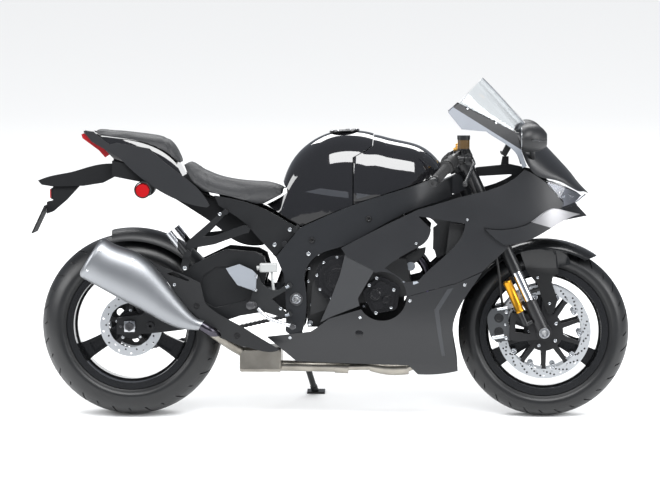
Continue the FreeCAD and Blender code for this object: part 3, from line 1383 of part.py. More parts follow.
def rider_seat():
    body = seat_loft((
        (182, 84, 860, 893), (216, 108, 790, 890), (250, 120, 775, 866), (304, 126, 760, 842), (369, 124, 740, 828), (440, 112, 730, 822), (500, 92, 730, 818), (548, 74, 735, 800),
    ), 0.66)
    outline = loop(
        (182, 886),
        [(216, 896)],
        [(560, 900)],
        [(560, 802)],
        [(535, 800)],
        [(530, 778)],
        [(468, 746)],
        [(444, 744)],
        [(351, 772)],
        [(256, 790)],
        [(210, 828)],
    )
    seat = body.common(prism(outline, -200, 200))
    return outer_part(seat, subframe(), Vec(0, 0, SEAT_GAP))


PILLION_BASE = ((160, 892), (139, 912), (68, 952), (-4, 970), (-108, 983))
TAIL_END = ((-168, 994), (-108, 952), (-62, 906))


def pillion_seat():
    body = seat_loft((
        (-130, 46, 988, 1002), (-90, 58, 972, 1004), (-30, 70, 962, 1000), (40, 80, 945, 992), (95, 86, 915, 985), (135, 86, 890, 972), (160, 82, 884, 940), (177, 76, 884, 902),
    ), 0.70)
    outline = loop(
        (-132, 996), [(-132, 1030)], [(190, 1030)], [(178, 888)], [PILLION_BASE[0]], list(PILLION_BASE[1:]))
    return body.common(prism(outline, -200, 200))


def tail_center():
    """Gloss centre of the tail under the pillion seat."""
    body = loft([section_wire(x, width, low, high, widest=0.75, low_share=0.7, crown=0.8) for x, width, low, high in (
        (-170, 40, 985, 1006), (-110, 58, 900, 1004), (-40, 74, 860, 1000), (40, 88, 845, 985), (110, 98, 820, 960), (184, 104, 800, 900))])
    under_seat = [(x - 0.4 * SEAT_GAP, z - 1.2 * SEAT_GAP) for x, z in PILLION_BASE]
    outline = loop(
        (184, 846), [under_seat[0]], under_seat[1:], [(-140, 1000)], [(-170, 1004)],
        [TAIL_END[0]], [TAIL_END[1]], [TAIL_END[2]], [(-62, 898.4)], [(60, 872.4)], [(184, 798)])
    return body.common(prism(outline, -200, 200))


def tail_panels():
    """Side panels of the tail: thin skins that taper towards the lamp."""
    grid = []
    for x, low_width, high_width in ((300, 128, 142), (240, 128, 139), (160, 120, 128), (70, 104, 110), (-20, 84, 88), (-100, 62, 66), (-180, 42, 46)):
        middle = (low_width + high_width) / 2 + 3
        grid.append([Vec(x, -w, z) for w, z in ((low_width, 700), (middle, 820), (high_width, 910), (high_width - 4, 1010))])
    skin = thick_skin(grid, PANEL)
    outline = loop(
        (-169, 1001),
        [(-134, 1000)],
        [(-76, 955)],
        [(-49, 962)],
        [(69, 942)],
        [(99, 914), (182, 850), (241, 801), (280, 744)],
        [(271, 737)],
        [(177, 759), (54, 827), (-34, 903)],
        [(-64, 922)],
        [(-140, 964)],
    )
    return pair(skin.common(prism(outline, -200, -20)))


def undertray():
    """Closed box under the seats that holds the electrics and meets the plate hanger."""
    outline = loop(
        (-66, 844),
        [(14, 828), (83, 814)],
        [(157, 764), (231, 717), (275, 688), (350, 628)],
        [(400, 605), (465, 603)],
        [(500, 638)],
        [(452, 690), (440, 712)],
        [(380, 728)],
        [(300, 762)],
        [(180, 800)],
        [(60, 872)],
        [(-66, 898)],
    )
    box = prism(outline, -82, 82)
    box = box.cut(across(Vec(344, 0, 738), -105, 105, 9 + SEAT_GAP))
    return outer_part(box, tail_center(), Vec(0, 0, -SEAT_GAP))


def tail_light():
    outline = loop(
        (-178, 990), [(-174, 976)], [(-116, 933)], [(-94, 908)], [(-76.3, 919.6)], [(-108.3, 951.6)], [(-168.2, 993.6)])
    return prism(outline, -36, 36)


def plate_hanger():
    """Rear hanger: an arm from the tail, a lamp hood and a tab with two holes for the number plate."""
    arm = prism(loop(
        (-332, 827), [(-295, 840), (-220, 855), (-151, 875), (-66.3, 884)], [(-66.3, 838)], [(-102, 819)], [(-171, 808)], [(-280, 806)], [(-319, 812)]), -38, 38)
    web = prism(loop((-186, 809), [(-235, 756)], [(-282, 716)], [(-302, 709)], [(-302, 751)], [(-280, 756)], [(-280, 809)]), -26, 26)
    tab_half = PLATE_HOLE_SPACING / 2 + 10
    half = plate_normal() * (PLATE_TAB / 2)
    corners = [PLATE_TOP + half, PLATE_TOP - half, PLATE_FOOT - half, PLATE_FOOT + half]
    tab = prism(loop(*[(corners[0].x, corners[0].z)], *[[(c.x, c.z)] for c in corners[1:]]), -tab_half, tab_half)
    whole = fuse(arm, web, tab)
    return whole.cut(Part.makeCompound([rod(*plate_hole(side), PLATE_HOLE_RADIUS) for side in (-1, 1)]))


PLATE_TOP = Vec(-303, 0, 739.5)
PLATE_FOOT = Vec(-348.5, 0, 643.5)


def plate_normal():
    """The way the number plate faces, square to its tab."""
    down = (PLATE_FOOT - PLATE_TOP).normalize()
    return Vec(down.z, 0, -down.x)


def plate_hole_centre(side):
    down = (PLATE_FOOT - PLATE_TOP).normalize()
    return PLATE_TOP + down * 20 + Vec(0, side * PLATE_HOLE_SPACING / 2, 0)


def plate_hole(side):
    """Axis of a number-plate hole through the tab, as two points past its faces."""
    centre = plate_hole_centre(side)
    return centre - plate_normal() * 20, centre + plate_normal() * 20


def side_reflectors():
    """Round reflector in a cup under each side of the tail."""
    cup = across(Vec(44, 0, 794), -112, -84, 27)
    lens = across(Vec(44, 0, 794), -118, -112, 23)
    stem = outer_part(rod(Vec(44, -88, 800), Vec(44, -72, 832), 7), undertray(), Vec(0, 0, -SEAT_GAP))
    return pair(fuse(cup, lens, stem))


def footrest_base():
    """Right footrest without its pedal: cast bracket with two seats on the frame, peg and heel guard."""
    y = -FRAME_HALF_WIDTH
    bracket = prism(loop(
        (455, 500), [(470, 470), (500, 452), (546, 470)], [(552, 452)], [(500, 420)], [(552, 372)], [(545, 352)],
        [(480, 372)], [(420, 392)], [(434, 452)]), y - 21, y - 13)
    heel = prism(loop(
        (340, 527), [(387, 542)], [(433, 521)], [(447, 506)], [(444, 446)], [(429, 452)], [(380, 469)],
        [(350, 510)]), y - 29, y - 25)
    return fuse(
        bracket,
        heel,
        across(Vec(560, 0, 466), y - 21, y - SEAT_GAP, 10),
        across(Vec(560, 0, 366), y - 21, y - SEAT_GAP, 10),
        rod(Vec(548, y - 17, 460), Vec(560, y - 17, 466), 8),
        rod(Vec(546, y - 17, 362), Vec(560, y - 17, 366), 8),
        rod(Vec(437, y - 15, 399), Vec(428, y - 107, 403), 11),
        across(Vec(444, 0, 496), y - 29, y - 15, 7),
        across(Vec(438, 0, 456), y - 29, y - 15, 7),
    )


def footrest_right():
    """Rider's right footrest with the brake pedal."""
    y = -FRAME_HALF_WIDTH
    pedal = bent_tube([
        Vec(452, y - 24, 386), Vec(482, y - 35, 356), Vec(530, y - 51, 338), Vec(574, y - 59, 328)], 7)
    toe = rod(Vec(574, y - 45, 328), Vec(576, y - 83, 328), 9)
    return fuse(footrest_base(), pedal, toe)


def footrest_left():
    """Rider's left footrest with the gear pedal."""
    y = FRAME_HALF_WIDTH
    pedal = bent_tube([
        Vec(452, y + 24, 386), Vec(490, y + 37, 372), Vec(560, y + 51, 366), Vec(610, y + 57, 362)], 7)
    toe = rod(Vec(610, y + 43, 362), Vec(612, y + 81, 362), 9)
    return fuse(mirrored(footrest_base()), pedal, toe)


def pillion_footrest():
    """Passenger's footrest: a forked hanger bolted to the seat rail, with the peg folded up."""
    outside = LEFT_ARM_INNER + ARM_THICKNESS + 9 + MOVING_GAP / 2
    hanger = prism(loop(
        (336, 734), [(346, 724)], [(262, 636)], [(300, 640)], [(404, 678)], [(424, 664)], [(418, 650)], [(404, 648)],
        [(300, 610)], [(222, 596)], [(206, 520)], [(188, 516)], [(182, 534)], [(196, 600)], [(206, 622)],
    ), -outside, -outside + 9)
    window = prism(loop((330, 690), [(300, 656)], [(372, 682)], [(345, 700)]), -outside - 2, -outside + 11)
    boss_a = across(Vec(338, 0, 722), -outside, -127 - SEAT_GAP, 9)
    boss_b = across(Vec(408, 0, 664), -outside, -127 - SEAT_GAP, 11)
    peg = rod(Vec(196, -outside - 10, 582), Vec(140, -outside - 14, 652), 13)
    hinge = rod(Vec(204, -outside + 5, 578), Vec(204, -outside - 18, 578), 13)
    return pair(fuse(hanger.cut(window), boss_a, boss_b, peg, hinge))


def brake_reservoir():
    """Rear brake's fluid bottle beside the right footrest."""
    y = -FRAME_HALF_WIDTH
    body = Part.makeBox(62, 26, 32, Vec(456, y - 11, 512))
    body = body.makeFillet(5, body.Edges)
    neck = rod(Vec(462, y + 2, 528), Vec(446, y + 2, 526), 8)
    stem = rod(Vec(498, y + 2, 515), Vec(506, y - 5, 440), 5)
    foot = rod(Vec(506, y - 2, 442), Vec(506, y - 13 + SEAT_GAP, 442), 7)
    return fuse(body, neck, stem, foot)


def rear_hugger():
    """Inner mudguard over the rear tyre's front, on the swingarm."""
    grid = []
    for angle in (22, 38, 54, 70, 86, 102):
        radius = REAR_TYRE_RADIUS + 16
        ridge = (REAR_AXLE.x + radius * cos(angle), REAR_AXLE.z + radius * sin(angle))
        low = radius - 40
        grid.append(arch(ridge, (REAR_AXLE.x + low * cos(angle), 101, REAR_AXLE.z + low * sin(angle)), steps=4, fullness=0.6))
    chain_side = CHAIN_LINE - CHAIN_WIDTH / 2 - PANEL_GAP
    chain_room = Part.makeBox(600, 60, 600, Vec(0, chain_side, REAR_AXLE.z))
    parts = [thick_skin(grid, PANEL).cut(chain_room)]
    for angle in (30, 38):
        at = REAR_AXLE + Vec(cos(angle), 0, sin(angle)) * (REAR_TYRE_RADIUS - 13)
        parts.append(across(at, -RIGHT_ARM_INNER + SEAT_GAP, -85, 7))
        parts.append(across(at, 85, LEFT_ARM_INNER - SEAT_GAP, 7))
    return fuse(*parts)


# Side stand

def floor_height(y):
    """Height of the floor below a point at y, in the upright frame, once the machine leans."""
    sink = REAR_CROWN_RADIUS * (1 - cos(LEAN))
    return (y * sin(LEAN) - sink) / cos(LEAN)


def stand_ends():
    pivot = Vec(*STAND_PIVOT)
    foot = Vec(STAND_FOOT_X, STAND_FOOT_Y, floor_height(STAND_FOOT_Y))
    return pivot, foot


def stand_axis():
    pivot, foot = stand_ends()
    down = (foot - pivot).normalize()
    folded = Vec(*STAND_FOLDED).normalize()
    axis = down.cross(folded).normalize()
    travel = math.degrees(math.acos(max(-1.0, min(1.0, down.dot(folded)))))
    return axis, travel


def side_stand():
    """Side stand: a yoke on the bracket's pin, a tube and a flat foot that lies on the floor."""
    pivot, foot = stand_ends()
    axis, _ = stand_axis()
    way = (foot - pivot).normalize()
    eye = rod(pivot - axis * 6.6, pivot + axis * 9, 15)
    tube = rod(pivot + way * 6, foot - way * 14, STAND_TUBE_RADIUS)
    floor_normal = Vec(0, -sin(LEAN), cos(LEAN))
    pad = Part.makeBox(64, 44, 7, Vec(-30, -20, 0))
    pad.rotate(Vec(0, 0, 0), Vec(1, 0, 0), LEAN)
    pad.translate(foot)
    ankle = rod(foot - way * 30, foot + floor_normal * 3, STAND_TUBE_RADIUS + 2)
    stand = fuse(eye, tube, pad, ankle)
    below = Part.makeBox(400, 400, 100, Vec(-200, -200, -100))
    below.rotate(Vec(0, 0, 0), Vec(1, 0, 0), LEAN)
    below.translate(foot)
    return stand.cut(below)


def make_chassis():
    return {
        "main_frame": main_frame(),
        "subframe": subframe(),
        "engine": engine(),
        "engine_covers": engine_covers(),
        "swingarm": swingarm(),
        "axles": Part.makeCompound([rear_axle(), pivot_shaft()]),
        "rear_caliper": rear_caliper(),
        "rear_shock": rear_shock(),
        "drive_chain": Part.makeCompound([drive_chain(), front_sprocket()]),
        "radiator": radiator(),
        "exhaust_pipes": exhaust_pipes(),
        "silencer": silencer(),
        "silencer_shield": silencer_shield(),
        "fuel_tank": fuel_tank(),
        "airbox_cover": airbox_cover(),
        "rider_seat": rider_seat(),
        "pillion_seat": pillion_seat(),
        "tail_center": tail_center(),
        "tail_panels": tail_panels(),
        "undertray": undertray(),
        "tail_light": tail_light(),
        "plate_hanger": plate_hanger(),
        "side_reflectors": side_reflectors(),
        "upper_fairing": pair(upper_fairing()),
        "lower_fairing": Part.makeCompound([lower_fairing(), lower_fairing_left()]),
        "engine_guards": pair(engine_guard()),
        "nose_cowl": Part.makeCompound([nose_cowl(), nose_duct()]),
        "cowl_wings": cowl_wings(),
        "windscreen": windscreen(),
        "headlights": pair(headlight_right()),
        "winglets": pair(winglet()),
        "mirrors": pair(mirror_right()),
        "fairing_stay": fairing_stay(),
        "dash": dash(),
        "footrests": Part.makeCompound([footrest_right(), footrest_left()]),
        "pillion_footrests": pillion_footrest(),
        "brake_reservoir": brake_reservoir(),
        "rear_hugger": rear_hugger(),
    }


def bodies():
    front, rear = make_wheels()
    return {
        "chassis": make_chassis(),
        "steering": make_steering(),
        "front_wheel": front,
        "rear_wheel": rear,
        "stand": {"side_stand": side_stand()},
    }


def placement(shapes):
    """Leans the upright machine onto its stand and centres its bounding box over the origin."""
    lean = FreeCAD.Placement(Vec(0, 0, 0), FreeCAD.Rotation(Vec(1, 0, 0), -LEAN))
    box = FreeCAD.BoundBox()
    for shape in shapes:
        copy = shape.copy()
        copy.Placement = lean.multiply(copy.Placement)
        box.add(copy.optimalBoundingBox(False, False))
    shift = Vec(-(box.XMin + box.XMax) / 2, -(box.YMin + box.YMax) / 2, -box.ZMin)
    return FreeCAD.Placement(shift, FreeCAD.Rotation(Vec(1, 0, 0), -LEAN))


def main():
    groups = bodies()
    shapes = {name: shape for group in groups.values() for name, shape in group.items()}
    place = placement(list(shapes.values()))
    os.makedirs("parts", exist_ok=True)
    for name, shape in shapes.items():
        placed = shape.copy()
        placed.Placement = place.multiply(placed.Placement)
        placed.exportStep("parts/" + name + ".step")
    print("placed", place.Base, "nodes", len(shapes))


if __name__ == "__main__":
    main()
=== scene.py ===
# %% [markdown]
# # Dressing a sport bike
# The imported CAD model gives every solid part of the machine: frame, wheels, panels, engine block.
# This lesson leaves those solids where they are and adds what makes them look real: paint, rubber,
# cast metal, padded seats, cut tread, screws, lamps and switches. Each step says what the piece is on
# the real machine, how it could be made in Blender, and why it is made this way here.

# %% Load the frame
import json
import math

import bmesh
import bpy
from mathutils import Matrix, Vector
from mathutils.bvhtree import BVHTree


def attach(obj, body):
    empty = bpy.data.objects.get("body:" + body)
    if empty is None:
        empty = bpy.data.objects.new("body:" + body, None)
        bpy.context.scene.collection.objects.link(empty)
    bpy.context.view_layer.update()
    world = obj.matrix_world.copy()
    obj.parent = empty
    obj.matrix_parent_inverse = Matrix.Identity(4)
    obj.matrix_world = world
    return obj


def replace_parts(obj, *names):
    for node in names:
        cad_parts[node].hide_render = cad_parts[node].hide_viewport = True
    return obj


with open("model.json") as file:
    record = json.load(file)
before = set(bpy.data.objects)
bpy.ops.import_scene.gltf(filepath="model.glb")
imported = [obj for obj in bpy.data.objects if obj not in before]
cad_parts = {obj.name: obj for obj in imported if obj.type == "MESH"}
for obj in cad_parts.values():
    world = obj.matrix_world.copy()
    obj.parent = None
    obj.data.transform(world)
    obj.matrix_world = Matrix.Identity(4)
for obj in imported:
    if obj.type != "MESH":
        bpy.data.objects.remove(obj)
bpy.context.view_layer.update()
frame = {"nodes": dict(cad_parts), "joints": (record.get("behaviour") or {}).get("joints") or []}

# %% [markdown]
# ## A drawing board that leans with the bike
# The machine leans on its side stand, so measuring in world coordinates would be awkward. We read the
# lean from the rear wheel's axle, and build a matrix that turns plain millimetres on an upright bike
# (x forward from the rear axle, y to the left, z up from the floor) into the leaning bike's place.

# %% The leaning drawing board
AXLE_HEIGHT = 320.4
WHEELBASE = 1450.0
FRONT_AXLE_HEIGHT = 299.37
RAKE_DEGREES = 25

rear_joint = next(joint for joint in frame["joints"] if joint["name"] == "rear_wheel_spin")
forward = Vector((1, 0, 0))
left = Vector(rear_joint["axis"]).normalized()
up = forward.cross(left)
PLACE = Matrix((forward, left, up)).transposed().to_4x4()
PLACE.translation = Vector(rear_joint["pos_m"]) - up * AXLE_HEIGHT / 1000
PLACE = PLACE @ Matrix.Scale(0.001, 4)
TO_BOARD = PLACE.inverted()
REAR = Vector((0, 0, AXLE_HEIGHT))
FRONT = Vector((WHEELBASE, 0, FRONT_AXLE_HEIGHT))


def board(x, y, z, pitch=0.0):
    """A local drawing board at a point; a positive pitch turns its x axis downwards."""
    return Matrix.Translation((x, y, z)) @ Matrix.Rotation(math.radians(pitch), 4, "Y")


def facing(point, normal):
    """A board at a point whose z axis looks along a normal."""
    return Matrix.Translation(point) @ Vector(normal).to_track_quat("Z", "X").to_matrix().to_4x4()


# The fork's own board: z runs up the legs.
FORK = board(*FRONT, pitch=-RAKE_DEGREES)
print("lean of the bike, degrees:", round(math.degrees(math.acos(up.z)), 2))

# %% [markdown]
# ## Camera
# A catalogue picture is taken from far away with a long lens, so the wheels stay round. The camera
# stands almost thirteen metres off, somewhat ahead of the tank and 1.3 metres high, and looks at the
# middle of the machine. It is placed on the leaning board, so the bike fills the picture as if upright.

# %% Camera
MM_PER_PIXEL = 3.53
PICTURE_WIDTH = 660
SENSOR_WIDTH = 36
EYE = Vector((1099, -12830, 1330))
AIM = Vector((697, 0, 590))


def link(name, data):
    """Puts a drawing, a lamp or a camera into the scene as an object."""
    if isinstance(data, bmesh.types.BMesh):
        drawing, data = data, bpy.data.meshes.new(name)
        drawing.to_mesh(data)
        drawing.free()
    thing = bpy.data.objects.new(name, data)
    bpy.context.scene.collection.objects.link(thing)
    return thing


eye, aim = PLACE @ EYE, PLACE @ AIM
back = (eye - aim).normalized()
right = up.cross(back).normalized()
camera = link("camera", bpy.data.cameras.new("camera"))
camera.matrix_world = Matrix((right, back.cross(right), back)).transposed().to_4x4()
camera.matrix_world.translation = eye
camera.data.sensor_width = SENSOR_WIDTH
camera.data.lens = SENSOR_WIDTH * (EYE - AIM).length / (PICTURE_WIDTH * MM_PER_PIXEL)
camera.data.clip_end = 100
bpy.context.scene.camera = camera
print("lens, mm:", round(camera.data.lens, 1))

# %% [markdown]
# ## Floor and studio light
# Black paint shows only what it reflects. A white floor, a long soft box over the camera's side and a
# second one on the far side draw the bright bands along the tank, while the sides stay dark. Two smaller
# boxes light the nose and the tail.

# %% Floor
drawing = bmesh.new()
bmesh.ops.create_grid(drawing, x_segments=8, y_segments=8, size=30)
floor = link("floor", drawing)
paint = bpy.data.materials.new("studio_floor")
paint.use_nodes = True
shader = paint.node_tree.nodes["Principled BSDF"]
shader.inputs["Base Color"].default_value = (0.86, 0.87, 0.88, 1)
shader.inputs["Roughness"].default_value = 0.9
shader.inputs["Specular IOR Level"].default_value = 0.1
floor.data.materials.append(paint)


# %% Lights
def soft_box(name, at, aim_at, width, height, power):
    lamp = bpy.data.lights.new(name, "AREA")
    lamp.shape = "RECTANGLE"
    lamp.size, lamp.size_y = width, height
    lamp.energy = power
    holder = link(name, lamp)
    holder.location = at
    holder.rotation_euler = (Vector(aim_at) - Vector(at)).to_track_quat("-Z", "X").to_euler()


soft_box("soft_box_near", (0.1, -1.9, 3.3), (0, 0, 0.7), 1.3, 3.6, 150)
soft_box("soft_box_far", (0.0, 2.4, 3.0), (0, 0, 0.7), 1.2, 3.6, 110)
soft_box("soft_box_front", (3.4, -1.6, 1.9), (0.4, 0, 0.7), 1.6, 1.6, 70)
soft_box("soft_box_rear", (-3.4, -0.8, 2.0), (-0.4, 0, 0.7), 1.6, 1.6, 55)
print("lights:", {lamp.name: lamp.energy for lamp in bpy.data.lights if lamp.name.startswith("soft_box")})

# %% World
# The open view is white. Reflections see darker studio walls instead, so black paint stays black.
world = bpy.data.worlds.new("studio")
bpy.context.scene.world = world
world.use_nodes = True
sky = world.node_tree
open_view = sky.nodes["Background"]
open_view.inputs["Color"].default_value = (1.0, 1.0, 1.0, 1)
open_view.inputs["Strength"].default_value = 1.0
studio_walls = sky.nodes.new("ShaderNodeBackground")
studio_walls.inputs["Color"].default_value = (0.75, 0.8, 0.9, 1)
studio_walls.inputs["Strength"].default_value = 0.32
ray = sky.nodes.new("ShaderNodeLightPath")
choose = sky.nodes.new("ShaderNodeMixShader")
sky.links.new(ray.outputs["Is Glossy Ray"], choose.inputs[0])
sky.links.new(open_view.outputs[0], choose.inputs[1])
sky.links.new(studio_walls.outputs[0], choose.inputs[2])
sky.links.new(choose.outputs[0], sky.nodes["World Output"].inputs["Surface"])
bpy.context.scene.view_settings.view_transform = "Standard"

# %% [markdown]
# ## Surface effects, built once
# Paint, plastic and metal share the same small imperfections. Each is a node group: a slow change of
# colour, a slow change of roughness, a fine grain, brushing along one way, and a shading-only rounding
# that makes moulded edges catch the light. Every material places them with its own numbers.

# %% Node helpers
NUMBER, COLOUR, VECTOR = "NodeSocketFloat", "NodeSocketColor", "NodeSocketVector"


def new_group(name, inputs, outputs):
    """An empty node group, with the sockets that feed it and the sockets that it fills."""
    group = bpy.data.node_groups.new(name, "ShaderNodeTree")
    for label, kind, value in inputs:
        group.interface.new_socket(label, in_out="INPUT", socket_type=kind).default_value = value
    for label, kind in outputs:
        group.interface.new_socket(label, in_out="OUTPUT", socket_type=kind)
    return group, group.nodes.new("NodeGroupInput").outputs, group.nodes.new("NodeGroupOutput").inputs


def put(tree, socket, value):
    """Fills a socket: with a link if the value is another node's socket, else with the value itself."""
    if isinstance(value, bpy.types.NodeSocket):
        tree.links.new(value, socket)
    else:
        socket.default_value = value


def add_node(tree, kind, inputs=(), **settings):
    """Adds a node, fills its inputs by name or number, and gives its outputs."""
    node = tree.nodes.new("ShaderNode" + kind)
    for key, value in settings.items():
        setattr(node, key, value)
    for key, value in dict(inputs).items():
        put(tree, node.inputs[key], value)
    return node.outputs


def calculate(tree, operation, *values, **settings):
    """Adds a sum on numbers or sockets and gives its result."""
    return add_node(tree, "Math", enumerate(values), operation=operation, **settings)[0]


def noise(tree, scale, detail, **more):
    """Noise in object coordinates, from 0 to 1."""
    where = add_node(tree, "TexCoord")["Object"]
    return add_node(tree, "TexNoise", {"Vector": where, "Scale": scale, "Detail": detail, **more})["Fac"]


def relief(tree, height, radius, strength, depth):
    """A bump on top of edges that are rounded in the shading only."""
    rounded = add_node(tree, "Bevel", {"Radius": radius}, samples=4)["Normal"]
    bump = {"Strength": strength, "Distance": depth, "Height": height, "Normal": rounded}
    return add_node(tree, "Bump", bump)["Normal"]


# %% Slow changes of colour and roughness
tone_group, start, end = new_group(
    "slow_tone", [("Color", COLOUR, (0.5, 0.5, 0.5, 1)), ("Amount", NUMBER, 0.1), ("Scale", NUMBER, 8.0)],
    [("Color", COLOUR)])
spread = calculate(tone_group, "SUBTRACT", noise(tone_group, start["Scale"], 4.0), 0.5)
spread = calculate(tone_group, "MULTIPLY", spread, start["Amount"])
factor = calculate(tone_group, "MULTIPLY_ADD", spread, 2.0, 1.0)
toned = add_node(tone_group, "VectorMath", {0: start["Color"], "Scale": factor}, operation="SCALE")
put(tone_group, end["Color"], toned["Vector"])

polish_group, start, end = new_group(
    "polish", [("Roughness", NUMBER, 0.4), ("Amount", NUMBER, 0.1), ("Scale", NUMBER, 14.0)],
    [("Roughness", NUMBER)])
cloud = noise(polish_group, start["Scale"], 5.0, Roughness=0.6)
spread = calculate(polish_group, "SUBTRACT", cloud, 0.5)
rough = calculate(polish_group, "MULTIPLY_ADD", spread, start["Amount"], start["Roughness"], use_clamp=True)
put(polish_group, end["Roughness"], rough)

# %% Rounded edges with fine grain, and brushing
grain_group, start, end = new_group(
    "edge_and_grain",
    [("Edge", NUMBER, 0.001), ("Scale", NUMBER, 900.0), ("Strength", NUMBER, 0.1), ("Depth", NUMBER, 0.0003)],
    [("Normal", VECTOR)])
speckle = noise(grain_group, start["Scale"], 3.0)
normal = relief(grain_group, speckle, start["Edge"], start["Strength"], start["Depth"])
put(grain_group, end["Normal"], normal)

brush_group, start, end = new_group(
    "brushing",
    [("Vector", VECTOR, (0, 0, 0)), ("Stretch", VECTOR, (2, 300, 300)), ("Strength", NUMBER, 0.2)],
    [("Normal", VECTOR)])
sides = {0: start["Vector"], 1: start["Stretch"]}
stretched = add_node(brush_group, "VectorMath", sides, operation="MULTIPLY")["Vector"]
lines = add_node(brush_group, "TexNoise", {"Vector": stretched, "Scale": 1.0, "Detail": 3.0})["Fac"]
put(brush_group, end["Normal"], relief(brush_group, lines, 0.0008, start["Strength"], 0.0002))
print("groups:", [group.name for group in bpy.data.node_groups])

# %% [markdown]
# ## Zones
# Some CAD parts carry two finishes: a fork leg is black above and bright below, a brake disc is steel
# outside and black inside. Rather than cut the part, the material asks where each point lies on a small
# drawing board (along an axis, or how far from it) and switches finish there.

# %% Zones inside one part
zone_group, start, end = new_group(
    "zone", [("Distance", NUMBER, 0.0), ("Low", NUMBER, 0.0), ("High", NUMBER, 1.0)], [("Mask", NUMBER)])
above = calculate(zone_group, "GREATER_THAN", start["Distance"], start["Low"])
below = calculate(zone_group, "LESS_THAN", start["Distance"], start["High"])
put(zone_group, end["Mask"], calculate(zone_group, "MULTIPLY", above, below))


def local_vector(tree, where_board):
    """Object coordinates turned into millimetres on a local board."""
    matrix = PLACE @ where_board
    turned = {"Vector": add_node(tree, "TexCoord")["Object"], "Location": matrix.to_translation(),
              "Rotation": matrix.to_euler(), "Scale": matrix.to_scale()}
    return add_node(tree, "Mapping", turned, vector_type="TEXTURE")["Vector"]


def zone_mask(tree, where_board, kind, low, high):
    """1 where a point lies between low and high: along x, y or z, or as a radius round the y axis."""
    vector = local_vector(tree, where_board)
    if kind in "xyz":
        distance = add_node(tree, "SeparateXYZ", {0: vector})["xyz".index(kind)]
    else:
        flat = add_node(tree, "VectorMath", {0: vector, 1: (1, 0, 1)}, operation="MULTIPLY")["Vector"]
        distance = add_node(tree, "VectorMath", {0: flat}, operation="LENGTH")["Value"]
    return add_node(tree, "Group", node_tree=zone_group,
                    inputs={"Distance": distance, "Low": low, "High": high})["Mask"]


# %% [markdown]
# ## The material maker
# Every finish on the bike is one Principled shader with the shared effects in front of it. The maker
# takes the colour, roughness and metal of the base, then any zones that differ, and wires them up.

# %% The material maker
def blend(tree, mask, first, second, colour=False):
    """Mixes two numbers or two colours by a mask; the mix node keeps them in sockets of their own."""
    one, two, result = (6, 7, 2) if colour else (2, 3, 0)
    return add_node(tree, "Mix", data_type="RGBA" if colour else "FLOAT",
                    inputs={0: mask, one: first, two: second})[result]


def finish(name, colour, roughness, metallic=0.0, tone=0.12, tone_scale=9.0, polish=0.08, grain=0.05,
           grain_scale=900.0, depth=0.0003, edge=0.001, zones=(), brushed=None, **plain):
    """A material. Each zone is (board, kind, low, high, colour, roughness, metallic)."""
    material = bpy.data.materials.new(name)
    material.use_nodes = True
    tree = material.node_tree
    base, gloss, metal = (*colour, 1), roughness, metallic
    for where_board, kind, low, high, zone_colour, zone_roughness, zone_metal in zones:
        mask = zone_mask(tree, where_board, kind, low, high)
        base = blend(tree, mask, base, (*zone_colour, 1), colour=True)
        gloss = blend(tree, mask, gloss, zone_roughness)
        metal = blend(tree, mask, metal, zone_metal)
    toned = add_node(tree, "Group", node_tree=tone_group,
                     inputs={"Color": base, "Amount": tone, "Scale": tone_scale})
    polished = add_node(tree, "Group", node_tree=polish_group, inputs={"Roughness": gloss, "Amount": polish})
    if brushed:
        brush_board, stretch, strength = brushed
        fine = {"Vector": local_vector(tree, brush_board), "Stretch": stretch, "Strength": strength}
    else:
        fine = {"Edge": edge, "Scale": grain_scale, "Strength": grain, "Depth": depth}
    surface = add_node(tree, "Group", node_tree=brush_group if brushed else grain_group, inputs=fine)
    wanted = {"Base Color": toned["Color"], "Roughness": polished["Roughness"], "Metallic": metal,
              "Normal": surface["Normal"], **{key.replace("_", " "): value for key, value in plain.items()}}
    for key, value in wanted.items():
        put(tree, tree.nodes["Principled BSDF"].inputs[key], value)
    return material


# %% Paints and plastics
CHARCOAL, PLASTIC = (0.0095, 0.0102, 0.012), (0.0075, 0.008, 0.009)
BLACK_METAL, RED = (0.008, 0.0085, 0.0095), (0.3, 0.003, 0.005)
gloss_black = finish("gloss_black_paint", (0.006, 0.006, 0.007), 0.05, polish=0.02, grain=0.01,
                     grain_scale=60, Coat_Weight=1.0, Coat_Roughness=0.02)
charcoal = finish("charcoal_paint", CHARCOAL, 0.38, tone=0.1, grain=0.12, grain_scale=1500)
charcoal_light = finish("charcoal_paint_light", (0.026, 0.028, 0.032), 0.4, tone=0.1, grain=0.12,
                        grain_scale=1500)
matte_black = finish("matte_black_plastic", PLASTIC, 0.46, grain=0.35, grain_scale=1100)
rough_black = finish("rough_black_plastic", PLASTIC, 0.75, grain=0.4, grain_scale=1100,
                     Specular_IOR_Level=0.15)
guard_plastic = finish("grained_grey_plastic", (0.02, 0.0215, 0.024), 0.6, grain=0.8, grain_scale=700,
                       depth=0.0006)
frame_paint = finish("frame_paint", (0.012, 0.013, 0.015), 0.3, 0.1, tone=0.15, grain=0.2, grain_scale=800)
wheel_paint = finish("wheel_paint", (0.006, 0.0063, 0.007), 0.2, tone=0.05, grain=0.06, Coat_Weight=0.3)
black_metal = finish("black_metal", BLACK_METAL, 0.34, 0.1, grain=0.25, grain_scale=700)
fork_black = finish("fork_reservoir", BLACK_METAL, 0.34, 0.1, tone=0.1, grain=0.1)
engine_cast = finish("engine_casting", (0.012, 0.0125, 0.0135), 0.5, 0.2, tone=0.25, grain=0.8,
                     grain_scale=420, depth=0.0008)
cover_black = finish("cover_black", (0.008, 0.008, 0.009), 0.22, 0.1, grain=0.1, grain_scale=300)
bottle = finish("reservoir_plastic", (0.32, 0.33, 0.33), 0.35, tone=0.05, Coat_Weight=0.2)
print("finishes so far:", len(bpy.data.materials))

